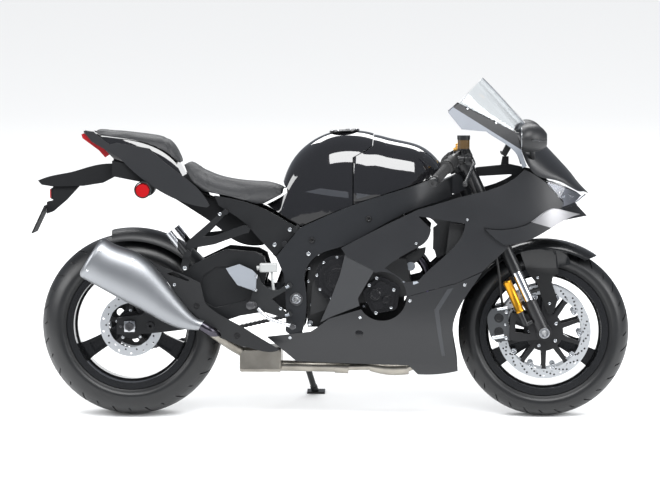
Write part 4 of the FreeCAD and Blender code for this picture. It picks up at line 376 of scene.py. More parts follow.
# %% Metals
caliper_cast = finish("caliper_casting", (0.12, 0.125, 0.13), 0.36, 0.9, grain=0.5, grain_scale=600)
steel = finish("ground_steel", (0.52, 0.53, 0.55), 0.28, 1.0, tone=0.2, grain=0.2)
dark_steel = finish("dark_steel", (0.12, 0.12, 0.125), 0.4, 1.0, tone=0.3, grain=0.3)
bolt_steel = finish("bolt_steel", (0.62, 0.64, 0.66), 0.25, 1.0, tone=0.1)
black_bolt = finish("black_bolt", (0.02, 0.02, 0.021), 0.34, 0.6, grain=0.1)
gold = finish("gold_anodised", (0.78, 0.42, 0.06), 0.3, 1.0, tone=0.1, grain=0.1)
fork_gold = finish("gold_sleeve", (0.62, 0.3, 0.025), 0.32, 1.0, tone=0.1, grain=0.1)
silencer_metal = finish("brushed_silencer", (0.3, 0.31, 0.325), 0.43, 1.0, tone=0.06,
                        brushed=(board(-115, -205, 560, pitch=31.4), (0.01, 0.9, 0.9), 0.18))
exhaust_metal = finish("heat_tinted_steel", (0.31, 0.29, 0.255), 0.34, 1.0, tone=0.5, tone_scale=14,
                       grain=0.2, grain_scale=300, zones=[
                           (board(1001, 0, 300), "z", -10, 600, (0.075, 0.07, 0.085), 0.26, 1.0),
                           (board(1001, 0, 470), "z", -45, 30, (0.12, 0.07, 0.3), 0.24, 1.0)])
print("finishes so far:", len(bpy.data.materials))


# %% Rubber, glass and lamps
def clear_finish(name, colour, roughness):
    return finish(name, colour, roughness, tone=0.02, polish=0.01, grain=0.02, edge=0.0005,
                  Transmission_Weight=1.0, IOR=1.35)


rubber = finish("rubber", (0.0095, 0.0095, 0.01), 0.6, grain=0.5, grain_scale=800)
tyre_rubber = finish("tyre_rubber", (0.0055, 0.006, 0.0068), 0.4, tone=0.25, tone_scale=16, polish=0.14,
                     grain=0.35, grain_scale=500)
red_lens = finish("red_lens", RED, 0.12, grain=0.25, grain_scale=260, depth=0.0006, Coat_Weight=1.0)
display_glass = finish("display_glass", (0.012, 0.014, 0.016), 0.12, grain=0.02, Coat_Weight=1.0)
clear_screen = clear_finish("clear_screen", (0.93, 0.95, 0.96), 0.02)
lamp_glass = clear_finish("lamp_glass", (0.97, 0.98, 1.0), 0.03)
print("finishes so far:", len(bpy.data.materials))

# %% [markdown]
# ## Two-finish parts
# The brake discs, fork, footrests and controls use zones, so that one CAD part shows steel, plastic or
# paint where the real part has them.

# %% Zoned finishes
UPRIGHT, FRONT_HUB, REAR_HUB = board(0, 0, 0), board(*FRONT), board(*REAR)
CARRIER, GUARD, BRACKET = (0.014, 0.014, 0.015), (0.24, 0.26, 0.29), (0.012, 0.013, 0.014)
disc_steel = finish("drilled_discs", CARRIER, 0.35, 0.3, tone=0.1, zones=[
    (FRONT_HUB, "round y", 131, 400, (0.7, 0.72, 0.74), 0.34, 0.9)])
rear_disc_steel = finish("rear_disc", CARRIER, 0.35, 0.3, tone=0.1, zones=[
    (REAR_HUB, "round y", 77, 300, (0.72, 0.74, 0.76), 0.34, 0.9)])
sprocket_steel = finish("sprocket", (0.02, 0.02, 0.02), 0.4, 0.6, zones=[
    (REAR_HUB, "round y", 88, 300, (0.4, 0.41, 0.42), 0.3, 1.0)])
fork_chrome = finish("fork_sliders", CARRIER, 0.35, 0.2, zones=[
    (FORK, "z", 125, 400, (0.72, 0.74, 0.77), 0.07, 1.0)])
silver_rest = finish("footrest_castings", (0.66, 0.67, 0.69), 0.2, 1.0, grain=0.3, grain_scale=600, zones=[
    (UPRIGHT, "y", -184.4, -179, GUARD, 0.45, 0.3), (UPRIGHT, "y", 179, 184.4, GUARD, 0.45, 0.3),
    (UPRIGHT, "y", -178.9, -120, BRACKET, 0.4, 0.1), (UPRIGHT, "y", 120, 178.9, BRACKET, 0.4, 0.1)])
control_black = finish("control_black", BLACK_METAL, 0.34, 0.1, grain=0.25, zones=[
    (UPRIGHT, "z", 944, 974, (0.07, 0.043, 0.018), 0.18, 0.0)])
wing_paint = finish("cowl_wing_paint", CHARCOAL, 0.38, grain=0.12, grain_scale=1500, zones=[
    (board(1133, 0, 1086, pitch=31.8), "z", -300, 0, (0.16, 0.175, 0.2), 0.4, 0.0)])
peg_paint = finish("pillion_hanger", BLACK_METAL, 0.34, 0.1, grain=0.2, zones=[
    (UPRIGHT, "x", 90, 172, (0.6, 0.61, 0.63), 0.25, 1.0)])
reflector = finish("side_reflector", PLASTIC, 0.5, zones=[
    (UPRIGHT, "y", -400, -111.9, RED, 0.12, 0.0), (UPRIGHT, "y", 111.9, 400, RED, 0.12, 0.0)])
winglet_paint = finish("winglet_paint", CHARCOAL, 0.38, grain=0.12, grain_scale=1500, zones=[
    (board(1403, 0, 691, pitch=17), "z", 0, 300, (0.3, 0.3, 0.31), 0.32, 0.85)])
fender_paint = finish("fender_paint", (0.006, 0.0065, 0.0072), 0.26, Specular_IOR_Level=0.3,
                      Coat_Weight=0.25, zones=[
                          (UPRIGHT, "z", 250, 524, (0.0025, 0.0028, 0.0032), 0.6, 0.0)])
print("finishes so far:", len(bpy.data.materials))

# %% Every CAD part gets its finish
FINISHES = {
    gloss_black: "fuel_tank airbox_cover tail_center",
    charcoal: "upper_fairing lower_fairing nose_cowl tail_panels",
    control_black: "hand_controls",
    wing_paint: "cowl_wings",
    winglet_paint: "winglets",
    fender_paint: "front_fender",
    bottle: "brake_reservoir",
    matte_black: "silencer_shield mirrors rear_hugger dash",
    guard_plastic: "engine_guards",
    frame_paint: "main_frame",
    black_metal: "subframe swingarm rear_caliper fork_clamps side_stand fairing_stay",
    engine_cast: "engine radiator",
    cover_black: "engine_covers",
    caliper_cast: "front_calipers",
    silver_rest: "footrests",
    steel: "axles front_axle",
    dark_steel: "rear_shock drive_chain",
    silencer_metal: "silencer",
    exhaust_metal: "exhaust_pipes",
    fork_black: "fork_reservoirs",
    reflector: "side_reflectors",
    wheel_paint: "front_rim rear_rim",
    rough_black: "plate_hanger undertray",
    peg_paint: "pillion_footrests",
    rubber: "handlebars brake_hoses rider_seat pillion_seat",
    tyre_rubber: "front_tyre rear_tyre",
    disc_steel: "front_discs",
    rear_disc_steel: "rear_disc",
    sprocket_steel: "rear_sprocket",
    fork_chrome: "fork_sliders",
    clear_screen: "windscreen",
    lamp_glass: "headlights",
    red_lens: "tail_light",
}
dressed = set()
for material, nodes in FINISHES.items():
    for node in nodes.split():
        for slot in frame["nodes"][node].material_slots:
            slot.material = material
        dressed.add(node)
print("nodes without a finish:", sorted(set(frame["nodes"]) - dressed))

# %% [markdown]
# ## Tools for new pieces
# All new pieces are drawn on the leaning board in millimetres and moved onto the bike in one step at the
# end. A side view gives x and z; how far out a surface lies is found by shooting a ray at the CAD part,
# so a screw or a stripe always sits on the panel it belongs to.

# %% Finding the surface of a CAD part
SIDES = (("right", -1), ("left", 1))
FAR_OUT, FAR_UP = 700, 1500
trees = {}


def tree_of(node):
    if node not in trees:
        mesh = frame["nodes"][node].data
        points = [TO_BOARD @ vertex.co for vertex in mesh.vertices]
        trees[node] = BVHTree.FromPolygons(points, [tuple(face.vertices) for face in mesh.polygons])
    return trees[node]


def on_side(nodes, x, z, side=-1):
    """Point and normal where a ray from one side (-1 right, 1 left) first meets one of some CAD parts."""
    hits = []
    for node in nodes.split():
        start, way = Vector((x, side * FAR_OUT, z)), Vector((0, -side, 0))
        point, normal, _, _ = tree_of(node).ray_cast(start, way)
        if point is not None:
            hits.append((point, normal if normal.y * side > 0 else -normal))
    return max(hits, key=lambda hit: hit[0].y * side) if hits else (None, None)


def from_above(node, x, y):
    point, normal, _, _ = tree_of(node).ray_cast(Vector((x, y, FAR_UP)), Vector((0, 0, -1)))
    return point, normal if normal.z > 0 else -normal


point, normal = on_side("lower_fairing", 981, 417)
print("lower fairing at the screw:", [round(value) for value in point])


# %% Drawing tools
def flat(point, side=-1):
    """A board at a point that looks straight out to the right (-1) or the left (1)."""
    return facing(point, (0, side, 0))


def shifted(where, x, y, z):
    """The same board, moved along its own directions."""
    return where @ Matrix.Translation((x, y, z))


def turn(bm, profile, where, steps=24):
    """Spins a profile of (radius, height) points round a board's z axis."""
    verts = [bm.verts.new(where @ Vector((radius, 0, height))) for radius, height in profile]
    edges = [bm.edges.new(ends) for ends in zip(verts, verts[1:])]
    axis = where.to_3x3() @ Vector((0, 0, 1))
    bmesh.ops.spin(bm, geom=verts + edges, cent=where.to_translation(), axis=axis, angle=math.tau,
                   steps=steps, use_merge=True)


def block(bm, where, size, round_edge=1.5, segments=2):
    """Box with rounded edges, centred on a board."""
    made = bmesh.ops.create_cube(bm, size=1, matrix=where @ Matrix.Diagonal((*size, 1)))
    edges = list({edge for vert in made["verts"] for edge in vert.link_edges})
    bmesh.ops.bevel(bm, geom=edges, offset=round_edge, segments=segments, affect="EDGES", profile=0.5,
                    material=-1)


def plate(bm, where, outline, depth, round_edge=0.0):
    """Closed outline on a board, raised to a plate whose upper rim may be rounded."""
    foot = [bm.verts.new(where @ Vector((x, y, 0))) for x, y in outline]
    top = [bm.verts.new(where @ Vector((x, y, depth))) for x, y in outline]
    bm.faces.new(foot[::-1])
    lid = bm.faces.new(top)
    for k in range(len(foot)):
        bm.faces.new((foot[k - 1], foot[k], top[k], top[k - 1]))
    if round_edge:
        bmesh.ops.bevel(bm, geom=list(lid.edges), offset=round_edge, segments=2, affect="EDGES",
                        profile=0.5, material=-1)


def side_plate(bm, outline, near, far, round_edge=0.0):
    """Outline in side view, raised from one y (near) towards a smaller one (far)."""
    where = Matrix(((1, 0, 0, 0), (0, 0, -1, near), (0, 1, 0, 0), (0, 0, 0, 1)))
    plate(bm, where, outline, near - far, round_edge)


def oval(width, height, power, count=40):
    """Outline of an oval; a higher power makes it squarer."""
    outline = []
    for k in range(count):
        x, y = math.cos(math.tau * k / count), math.sin(math.tau * k / count)
        outline.append((math.copysign(abs(x) ** (2 / power), x) * width / 2,
                        math.copysign(abs(y) ** (2 / power), y) * height / 2))
    return outline


# %% A skin laid on a CAD part
def patch(bm, nodes, outline, side=-1, lift=0.3, thick=0.6, step=14.0):
    """Cuts an outline in side view into a grid, drops it on the surface and gives it a thickness."""
    faces = [bm.faces.new([bm.verts.new((x, side * FAR_OUT, z)) for x, z in outline])]
    for axis in (0, 2):
        reach = [vert.co[axis] for face in faces for vert in face.verts]
        normal = Vector([1.0 if k == axis else 0.0 for k in range(3)])
        for k in range(1, int((max(reach) - min(reach)) / step) + 1):
            cut = normal * (min(reach) + step * k)
            geom = list({item for face in faces for item in (*face.verts, *face.edges, face)})
            made = bmesh.ops.bisect_plane(bm, geom=geom, plane_co=cut, plane_no=normal)
            faces = [item for item in made["geom"] if isinstance(item, bmesh.types.BMFace)]
    missed, outward = [], {}
    for vert in {vert for face in faces for vert in face.verts}:
        point, normal = on_side(nodes, vert.co.x, vert.co.z, side)
        if point is None:
            missed.append(vert)
        else:
            vert.co = point + normal * lift
            outward[vert.co.to_tuple(2)] = normal
    kept = [face for face in faces if not set(face.verts) & set(missed)]
    bmesh.ops.delete(bm, geom=missed, context="VERTS")
    kept = bmesh.ops.triangulate(bm, faces=kept)["faces"]
    raised = bmesh.ops.extrude_face_region(bm, geom=kept, use_keep_orig=True)
    for item in raised["geom"]:
        if isinstance(item, bmesh.types.BMVert):
            item.co += outward[item.co.to_tuple(2)] * thick


# %% Handing a drawing over
def make_piece(name, bm, material, body="chassis", sharp=35):
    """Cleans a drawing, moves it onto the leaning bike and hands it to its body."""
    bmesh.ops.remove_doubles(bm, verts=bm.verts, dist=0.01)
    bmesh.ops.recalc_face_normals(bm, faces=bm.faces)
    open_edges = sum(1 for edge in bm.edges if len(edge.link_faces) != 2)
    bm.transform(PLACE)
    piece = link(name, bm)
    piece.data.materials.append(material)
    piece.data.shade_smooth()
    piece.data.set_sharp_from_angle(angle=math.radians(sharp))
    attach(piece, body)
    print(name, "faces:", len(piece.data.polygons), "open edges:", open_edges)
    return piece


# %% [markdown]
# ## Screws
# A cap screw is a turned part: a flat washer face, a rounded rim and a socket. Spinning its half
# profile once gives a closed, rounded head, and every screw on the bike uses the same profile.

# %% Screw heads
def screw(bm, point, normal, radius, height=None, socket=True):
    """A cap screw, or a plain domed head where it has no socket."""
    height = height or radius * 0.7
    hole = [(0, height * 0.3), (radius * 0.5, height * 0.3), (radius * 0.5, height * 0.92)]
    dome = [(0, height * 1.12), (radius * 0.45, height * 1.06)]
    rim = [(radius * 0.62, height), (radius * 0.86, height * 0.92), (radius, height * 0.62), (radius, -1)]
    turn(bm, (hole if socket else dome) + rim + [(0, -1)], facing(point, normal), 20)


def screws_on(bm, nodes, spots, sides=(-1, 1), straight=True, least=0, **shape):
    """Screws at (x, z, radius) in side view, where the parts have a surface at least so far out."""
    for side in sides:
        for x, z, radius in spots:
            point, normal = on_side(nodes, x, z, side)
            if point is not None and abs(point.y) > least:
                screw(bm, point, (0, side, 0) if straight else normal, radius, **shape)


# %% Frame and fairing screws
FRAME = "main_frame subframe"
LOWER_SCREWS = {"right": [(981, 417, 6), (1171, 473, 6), (808, 358, 6), (563, 284, 6)],
                "left": [(981, 417, 6), (1171, 473, 6), (1080, 300, 6)]}
for label, side in SIDES:
    for name, nodes, spots, material, socket in (
            ("frame_bolts", FRAME, [(561, 660, 8), (507, 607, 8), (627, 577, 8)], bolt_steel, False),
            ("frame_black_bolts", FRAME, [(639, 625, 10), (837, 700, 10)], black_bolt, True),
            ("upper_screws", "upper_fairing", [(1003, 617, 5), (1180, 700, 5)], bolt_steel, True),
            ("lower_screws", "lower_fairing", LOWER_SCREWS[label], bolt_steel, True)):
        bm = bmesh.new()
        screws_on(bm, nodes, spots, (side,), straight=False, socket=socket)
        make_piece(f"{name}_{label}", bm, material)

# %% [markdown]
# ## Engine covers
# The round crank cover and the clutch cover are thin castings held by a ring of screws. Two raised caps,
# a ring and a round plug in the fairing below break up the plain CAD surfaces. They could be textured
# on, but the edges would not catch the light, so each is turned.

# %% Crank and clutch cover details
CRANK, CLUTCH = (874, 428), (729, 492)
CRANK_SCREWS = ((-10, 73), (-39, 45), (56, 28), (-51, -25), (46, -41), (-13, -63), (-62, -43))
bm = bmesh.new()
spots = [(CRANK[0] + dx * 0.9, CRANK[1] + dz * 0.9, 6.5) for dx, dz in CRANK_SCREWS]
screws_on(bm, "engine_covers engine", spots, (-1,), straight=False)
angles = [math.radians(40 * k + 12) for k in range(9)]
spots = [(CLUTCH[0] + 73 * math.cos(angle), CLUTCH[1] + 73 * math.sin(angle), 5.5) for angle in angles]
screws_on(bm, "engine_covers", spots, (-1,))
make_piece("cover_screws", bm, bolt_steel)

bm = bmesh.new()
for dx, dz, radius, height in ((-15, 8, 20, 5), (25, -10, 14, 9)):
    point, _ = on_side("engine_covers", CRANK[0] + dx, CRANK[1] + dz)
    dish = [(0, height * 0.6), (radius * 0.55, height * 0.6), (radius * 0.62, height)]
    rim = [(radius * 0.9, height), (radius, height * 0.7), (radius, -2), (0, -2)]
    turn(bm, dish + rim, flat(point), 32)
point, _ = on_side("engine_covers", *CLUTCH)
turn(bm, [(0, 2), (26, 2), (28, 4), (36, 4), (38, 1), (38, -2), (0, -2)], flat(point), 48)
point, _ = on_side("lower_fairing", 805, 302)
turn(bm, [(0, 2.4), (10, 2.2), (14, 1), (14, -1), (0, -1)], flat(point), 32)
make_piece("cover_caps", bm, cover_black)

# %% [markdown]
# ## Grips and switches
# A grip is a rubber sleeve with fine rings, thicker at the inner collar and closed by an end weight. It
# is turned from one ribbed profile round the bar. The switch housings get their split line and buttons.

# %% Grips and end weights
BAR_END = Vector((1066, -352, 837))
BAR_WAY = Vector((-86, -220, -89)).normalized()


def along_bar(distance, side=-1):
    """Board on the right (-1) or left (1) bar, so far in from its end, z along the bar to the outside."""
    point = BAR_END - BAR_WAY * distance
    way = BAR_WAY.copy()
    point.y, way.y = -point.y * side, -way.y * side
    return facing(point, way)


grips, weights = bmesh.new(), bmesh.new()
sleeve = [(12, 0), (21.5, 0), (22.5, 1.5), (22.5, 5), (18.5, 7)]
for k in range(26):
    sleeve += [(17.6, 9 + 4 * k), (16.9, 11 + 4 * k)]
sleeve += [(18.2, 116), (18.2, 121), (12, 122)]
weight = [(0, 0), (15.6, 0), (16.2, 2), (16.2, 12), (14, 18), (6, 19), (5, 16), (0, 16)]
for side in (-1, 1):
    turn(grips, sleeve, along_bar(126, side), 32)
    turn(weights, weight, along_bar(1, side), 32)
make_piece("grips", grips, rubber, "steering")
make_piece("bar_end_weights", weights, black_metal, "steering")

# %% Switch buttons
BUTTONS = ((25, 8, (9, 12, 4)), (60, 26, (8, 8, 5)), (95, 12, (7, 16, 3)), (140, 24, (9, 9, 4)))
bm = bmesh.new()
for side in (-1, 1):
    home = along_bar(166, side)
    for degrees, along, size in BUTTONS:
        spun = home @ Matrix.Rotation(math.radians(degrees), 4, "Z")
        block(bm, shifted(spun, 24, 0, along), size, 1.2)
    turn(bm, [(24.2, 17), (24.8, 17.4), (24.8, 18.6), (24.2, 19)], home, 40)
make_piece("switch_buttons", bm, matte_black, "steering")

# %% [markdown]
# ## Fork tops
# Each leg ends in a hexagon cap with the gold adjuster that the photo shows. The small knob is turned
# with a ring groove.

# %% Fork caps and adjusters
LEG_TOP, LEG_OUT = 708, 105
bm = bmesh.new()
for side in (-1, 1):
    top = shifted(FORK, 0, side * LEG_OUT, LEG_TOP)
    turn(bm, [(0, 4), (10, 4), (10, 5), (19, 5), (20, 4), (20, -1), (0, -1)], top, 6)
    turn(bm, [(0, 15), (5, 15), (7, 14), (7, 11), (6, 10.5), (7, 10), (9, 9), (9, 3), (0, 3)], top, 24)
make_piece("fork_adjusters", bm, gold, "steering")

# %% [markdown]
# ## Brake calipers
# The front calipers are one-piece castings. What the eye looks for are the round piston caps, the bolts
# and the two bright bars that bridge the casting above and below.

# %% Caliper details
CALIPER = (1298, 325)
bm, dark = bmesh.new(), bmesh.new()
for side in (-1, 1):
    for dz in (-24, 24):
        point, _ = on_side("front_calipers", CALIPER[0] - 6, CALIPER[1] + dz, side)
        cap = [(0, 1.4), (9, 1.4), (10, 2.4), (15, 2.4), (16.5, 1), (16.5, -1), (0, -1)]
        turn(dark, cap, flat(point, side), 32)
        screws_on(bm, "front_calipers", [(CALIPER[0] + 20, CALIPER[1] + dz * 1.9, 7)], (side,))
    screws_on(bm, "front_calipers", [(CALIPER[0] + 16, CALIPER[1], 5)], (side,))
    for x, z, length, radius in ((1304, 384, 38, 6.5), (1290, 283, 44, 8)):
        bar = [(0, 0), (radius - 1, 0), (radius, 1), (radius, length - 1), (radius - 1, length), (0, length)]
        turn(bm, bar, facing((x - length / 2, side * 97, z - 4), (0.98, 0, 0.17)), 24)
make_piece("caliper_bolts", bm, bolt_steel, "steering")
make_piece("caliper_piston_caps", dark, black_metal, "steering")

# %% [markdown]
# ## Wheels
# Floating discs hang on ten silver buttons between the steel band and the black carrier, and five screws
# hold the carrier to the hub. The CAD disc has its larger holes; small dark spots stand for the fine
# ones between them. The axle ends get their nuts, and the swingarm its adjuster plates.

# %% Disc buttons, drillings and hub screws
DISC_FACE = 66.5
BUTTON = [(0, 1.4), (4.6, 1.4), (5.4, 2.4), (9, 2.4), (10.5, 1), (10.5, -4), (0, -4)]
DRILLING = [(0, 0.15), (2.9, 0.15), (3.4, 0), (3.4, -0.6), (0, -0.6)]


def round_hub(hub, radius, degrees, y=0):
    """Point on a circle round a wheel's axle."""
    angle = math.radians(degrees)
    return hub + Vector((radius * math.cos(angle), y, radius * math.sin(angle)))


bm, small, holes, rear = bmesh.new(), bmesh.new(), bmesh.new(), bmesh.new()
for side in (-1, 1):
    for k in range(10):
        turn(bm, BUTTON, flat(round_hub(FRONT, 126, 33 + 36 * k, side * DISC_FACE), side), 24)
    for ring, radius in enumerate((137, 143, 149, 155)):
        for k in range(20):
            point = round_hub(FRONT, radius, 18 * k + 4.5 * ring, side * DISC_FACE)
            turn(holes, DRILLING, flat(point, side), 12)
for k in range(5):
    x, _, z = round_hub(FRONT, 51, 34 + 72 * k)
    screws_on(small, "front_discs", [(x, z, 6.5)])
    x, _, z = round_hub(REAR, 52, 20 + 72 * k)
    screws_on(rear, "rear_disc", [(x, z, 5)], (-1,), height=1.5)
make_piece("disc_buttons", bm, bolt_steel, "front_wheel")
make_piece("disc_screws", small, bolt_steel, "front_wheel")
make_piece("disc_drillings", holes, black_metal, "front_wheel")
make_piece("rear_disc_screws", rear, bolt_steel, "rear_wheel")

# %% Axle nuts and adjuster plates
NUT = [(0, 3), (9, 3), (9, 9), (15, 9), (17, 7), (17, 0), (22, 0), (22, -2), (0, -2)]
END_RING = [(11, -1), (11, 3), (12.5, 5.5), (17, 5.5), (18.5, 4), (18.5, -1), (11, -1)]
nuts, plates, rings = bmesh.new(), bmesh.new(), bmesh.new()
for side in (-1, 1):
    point, _ = on_side("axles swingarm", 0, AXLE_HEIGHT, side)
    turn(nuts, NUT, flat(point, side), 6 if side < 0 else 24)
    block(plates, flat((0, point.y - side * 1.5, AXLE_HEIGHT), side), (38, 38, 6), 2.5)
    turn(rings, END_RING, flat((FRONT.x, side * 130.5, FRONT.z), side), 40)
screws_on(nuts, "swingarm", [(-32, 320, 5)])
make_piece("axle_nuts", nuts, dark_steel)
make_piece("axle_plates", plates, steel)
make_piece("front_axle_ends", rings, steel, "steering")

# %% [markdown]
# ## Mirrors, dash and lamps
# A mirror is a shell with a glass in a thin rim at its back and a small clear lamp in its nose. The
# dash is a dark display behind a frame. Behind each clear lamp lens sits a housing with two round
# projector lenses, which is what makes a lamp look deep instead of painted.

# %% Mirror glass and lamp
mirror_glass = finish("mirror_glass", (0.78, 0.8, 0.82), 0.03, 1.0, tone=0.0, polish=0.01, grain=0.0)
for label, side in SIDES:
    glass, rim, lens = bmesh.new(), bmesh.new(), bmesh.new()
    back = board(1365.5, side * 304, 984, pitch=-90)
    plate(glass, back, oval(80, 110, 2.4), 1.2, 0.5)
    plate(rim, shifted(back, 0, 0, -3), oval(85, 116, 2.3), 3.4, 1.2)
    patch(lens, "mirrors", [(1400, 975), (1448, 976), (1450, 984), (1398, 985)], side, 0.2, 1.2, 6)
    make_piece(f"mirror_glass_{label}", glass, mirror_glass)
    make_piece(f"mirror_rim_{label}", rim, matte_black)
    make_piece(f"mirror_lamp_{label}", lens, lamp_glass)

# %% Dash
bm, screen, keys = bmesh.new(), bmesh.new(), bmesh.new()
face = shifted(board(1306, 0, 918, pitch=30), -10, 0, 37) @ Matrix.Rotation(math.radians(-90), 4, "Y")
plate(screen, shifted(face, 0, 0, 0.1), oval(58, 150, 6), 0.8, 0.3)
ring = oval(70, 168, 6)
outer = [bm.verts.new(face @ Vector((x, y, 0))) for x, y in ring]
inner = [bm.verts.new(face @ Vector((x * 0.86, y * 0.91, 0))) for x, y in ring]
band = [bm.faces.new((outer[k - 1], outer[k], inner[k], inner[k - 1])) for k in range(len(ring))]
bmesh.ops.solidify(bm, geom=band, thickness=-3.5)
for k in (-1, 1):
    block(keys, shifted(face, -31.5, 26 * k, 1.5), (5, 18, 5), 1)
make_piece("dash_frame", bm, matte_black)
make_piece("dash_screen", screen, display_glass)
make_piece("dash_keys", keys, rubber)

# %% Lamp insides
LENS = [(1462, 826), (1492, 820), (1530, 806), (1574, 786), (1584, 778), (1562, 756), (1516, 740),
        (1522, 758)]
LENS_DEPTH = 13.2
lamp_grey = finish("lamp_housing", (0.12, 0.125, 0.14), 0.28, 0.9)
lamp_silver = finish("lamp_reflector", (0.75, 0.77, 0.8), 0.08, 1.0, tone=0.0, grain=0.0)
for label, side in SIDES:
    back, silver, optics = bmesh.new(), bmesh.new(), bmesh.new()
    patch(back, "headlights", LENS, side, -13.5, 2, 10)
    for x, z, radius in ((1512, 784, 11), (1546, 776, 9)):
        point, normal = on_side("headlights", x, z, side)
        where = facing(point - normal * LENS_DEPTH, normal)
        rim = [(radius, 0), (radius + 1.2, 0), (radius + 2.5, 4), (radius + 1.5, 4.4), (radius, 0)]
        turn(silver, rim, where, 32)
        dome = [(radius * math.sin(t), radius * 0.35 * math.cos(t)) for t in (0.0, 0.3, 0.6, 0.9, 1.2, 1.5)]
        turn(optics, dome + [(radius, -0.5), (0, -0.5)], where, 32)
    make_piece(f"lamp_housing_{label}", back, lamp_grey)
    make_piece(f"lamp_rings_{label}", silver, lamp_silver)
    make_piece(f"lamp_optics_{label}", optics, lamp_glass)

# %% [markdown]
# ## Tank and fairing trim
# The tank has a flush filler cap with its ring of screws and a key cover, and a lighter band that runs
# along its flank. The band is a thin skin laid over the CAD tank: cut to its outline, dropped onto the
# surface point by point, then given a thickness, so it follows every curve. The lower fairing's front
# edge and the lip of its opening are skins of the same kind.

# %% Filler cap
CAP = [(0, 2.2), (22, 2), (33, 1.6), (34, 0.8), (36, 0.8), (37, 1.8), (50, 1.4), (53, -0.6), (53, -5),
       (0, -5)]
bm, cap_screws = bmesh.new(), bmesh.new()
point, normal = from_above("fuel_tank", 748, 0)
cap = facing(point, normal)
turn(bm, CAP, cap, 64)
for k in range(6):
    at = cap @ Matrix.Rotation(math.radians(60 * k), 4, "Z") @ Vector((43.5, 0, 0.8))
    screw(cap_screws, at, normal, 3.2)
block(bm, shifted(cap, 14, 0, 2.2), (20, 13, 2.4), 1.1)
make_piece("filler_cap", bm, cover_black)
make_piece("filler_cap_screws", cap_screws, bolt_steel)

# %% Bands and edges
BAND = [(612, 791), (668, 804), (760, 793), (845, 782), (797, 768), (700, 778)]
EDGE = [(1132, 462), (1082, 382), (1092, 300), (1103, 222), (1092, 222), (1078, 300), (1066, 384),
        (1112, 458)]
LIP = [(912, 521), (930, 523), (941, 513), (966, 496), (984, 488), (1006, 485), (1012, 480), (997, 474),
       (975, 474), (948, 487)]
tank_grey = finish("tank_grey_band", (0.05, 0.053, 0.06), 0.3, 0.5, tone=0.05, Coat_Weight=0.6)
lip_grey = finish("vent_lip", (0.33, 0.36, 0.4), 0.4, 0.4, tone=0.1)
for label, side in SIDES:
    band, edge = bmesh.new(), bmesh.new()
    patch(band, "fuel_tank airbox_cover", BAND, side, 0.1, 0.4)
    patch(edge, "lower_fairing", EDGE, side, 0.1, 0.5)
    make_piece(f"tank_band_{label}", band, tank_grey)
    make_piece(f"fairing_edge_{label}", edge, charcoal_light)
bm = bmesh.new()
patch(bm, "upper_fairing lower_fairing", LIP, -1, 0.1, 0.7, 10)
make_piece("vent_lip", bm, lip_grey)

# %% [markdown]
# ## Silencer
# The silencer's end cap is riveted on, and the shield over its front is held by screws. Lower down the
# shield has two wide washers with a raised ring, which are turned like the screws.

# %% Silencer and shield screws
RING = [(0, 0.6), (5.5, 0.6), (6.5, 1.8), (10, 1.8), (11, 0.6), (11, -2), (0, -2)]
bm, washers = bmesh.new(), bmesh.new()
screws_on(bm, "silencer", [(-94, 592, 4.5), (-136, 524, 4.5)], (-1,), straight=False, height=2, socket=False)
screws_on(bm, "silencer_shield silencer", [(160, 470, 6), (20, 560, 6)], (-1,), straight=False)
for x, z in ((239, 397), (379, 292)):
    turn(washers, RING, facing(*on_side("silencer_shield", x, z)), 32)
make_piece("silencer_screws", bm, bolt_steel)
make_piece("shield_bolts", washers, black_bolt)

# %% [markdown]
# ## Radiator
# The core is a stack of flat tubes with folded fins. Seen between the wheel and the fairing it reads as
# fine level lines, so thin level bars in front of the CAD core are enough.

# %% Radiator tubes
bm = bmesh.new()
core = board(1096, 0, 332, pitch=8)
for k in range(42):
    block(bm, shifted(core, 18.5, 0, 8 + 8 * k), (3, 318, 2.2), 0.4, 1)
for y in (-120, -60, 0, 60, 120):
    block(bm, shifted(core, 18, y, 174), (1.5, 2, 336), 0.4, 1)
tube_metal = finish("radiator_tubes", (0.05, 0.05, 0.052), 0.5, 0.8)
make_piece("radiator_tubes", bm, tube_metal)

# %% [markdown]
# ## Footrests
# The rider's pegs are alloy bars with cut rings, which keep a boot from sliding. The brake and gear
# pedals end in smaller ringed tips. Both are turned.

# %% Knurled pegs and pedal tips
peg = [(0, 0), (10, 0)]
for k in range(18):
    peg += [(12.2, 1 + 4.2 * k), (12.2, 3 + 4.2 * k), (11, 3.6 + 4.2 * k), (11, 4.6 + 4.2 * k)]
peg += [(13.5, 78), (13.5, 81), (5, 83), (0, 83)]
tip = [(0, -1), (10, -1)]
for k in range(8):
    tip += [(10.4, 4.6 * k), (9.6, 4.6 * k + 2.3)]
tip += [(10, 39), (0, 40)]
bm = bmesh.new()
for side, toe in ((-1, (574, -200, 328)), (1, (610, 198, 362))):
    turn(bm, peg, facing((436, side * 184, 399.4), (-8, side * 78, 3.6)), 24)
    turn(bm, tip, flat(toe, side), 20)
make_piece("peg_rings", bm, dark_steel)

# %% [markdown]
# ## Seats
# A sport seat is moulded foam under a grained cover, stapled round a stiff base. The CAD seat gives the
# foam's size. Its copy is remeshed into even squares, drawn in a little, and blown up by a short cloth
# simulation with air pressure while the underside is held, so the cover becomes full and round the way
# stretched vinyl does. Modelling that by hand is possible but looks stiffer. The sewn channels come last,
# because the remesh would wipe them out.

# %% Copies of CAD parts
WELD = 0.00002


def merged_copy(name, node):
    """Copy of a CAD part whose faces share their corners."""
    bm = bmesh.new()
    bm.from_mesh(frame["nodes"][node].data)
    bmesh.ops.remove_doubles(bm, verts=bm.verts, dist=WELD)
    bmesh.ops.recalc_face_normals(bm, faces=bm.faces)
    return link(name, bm)


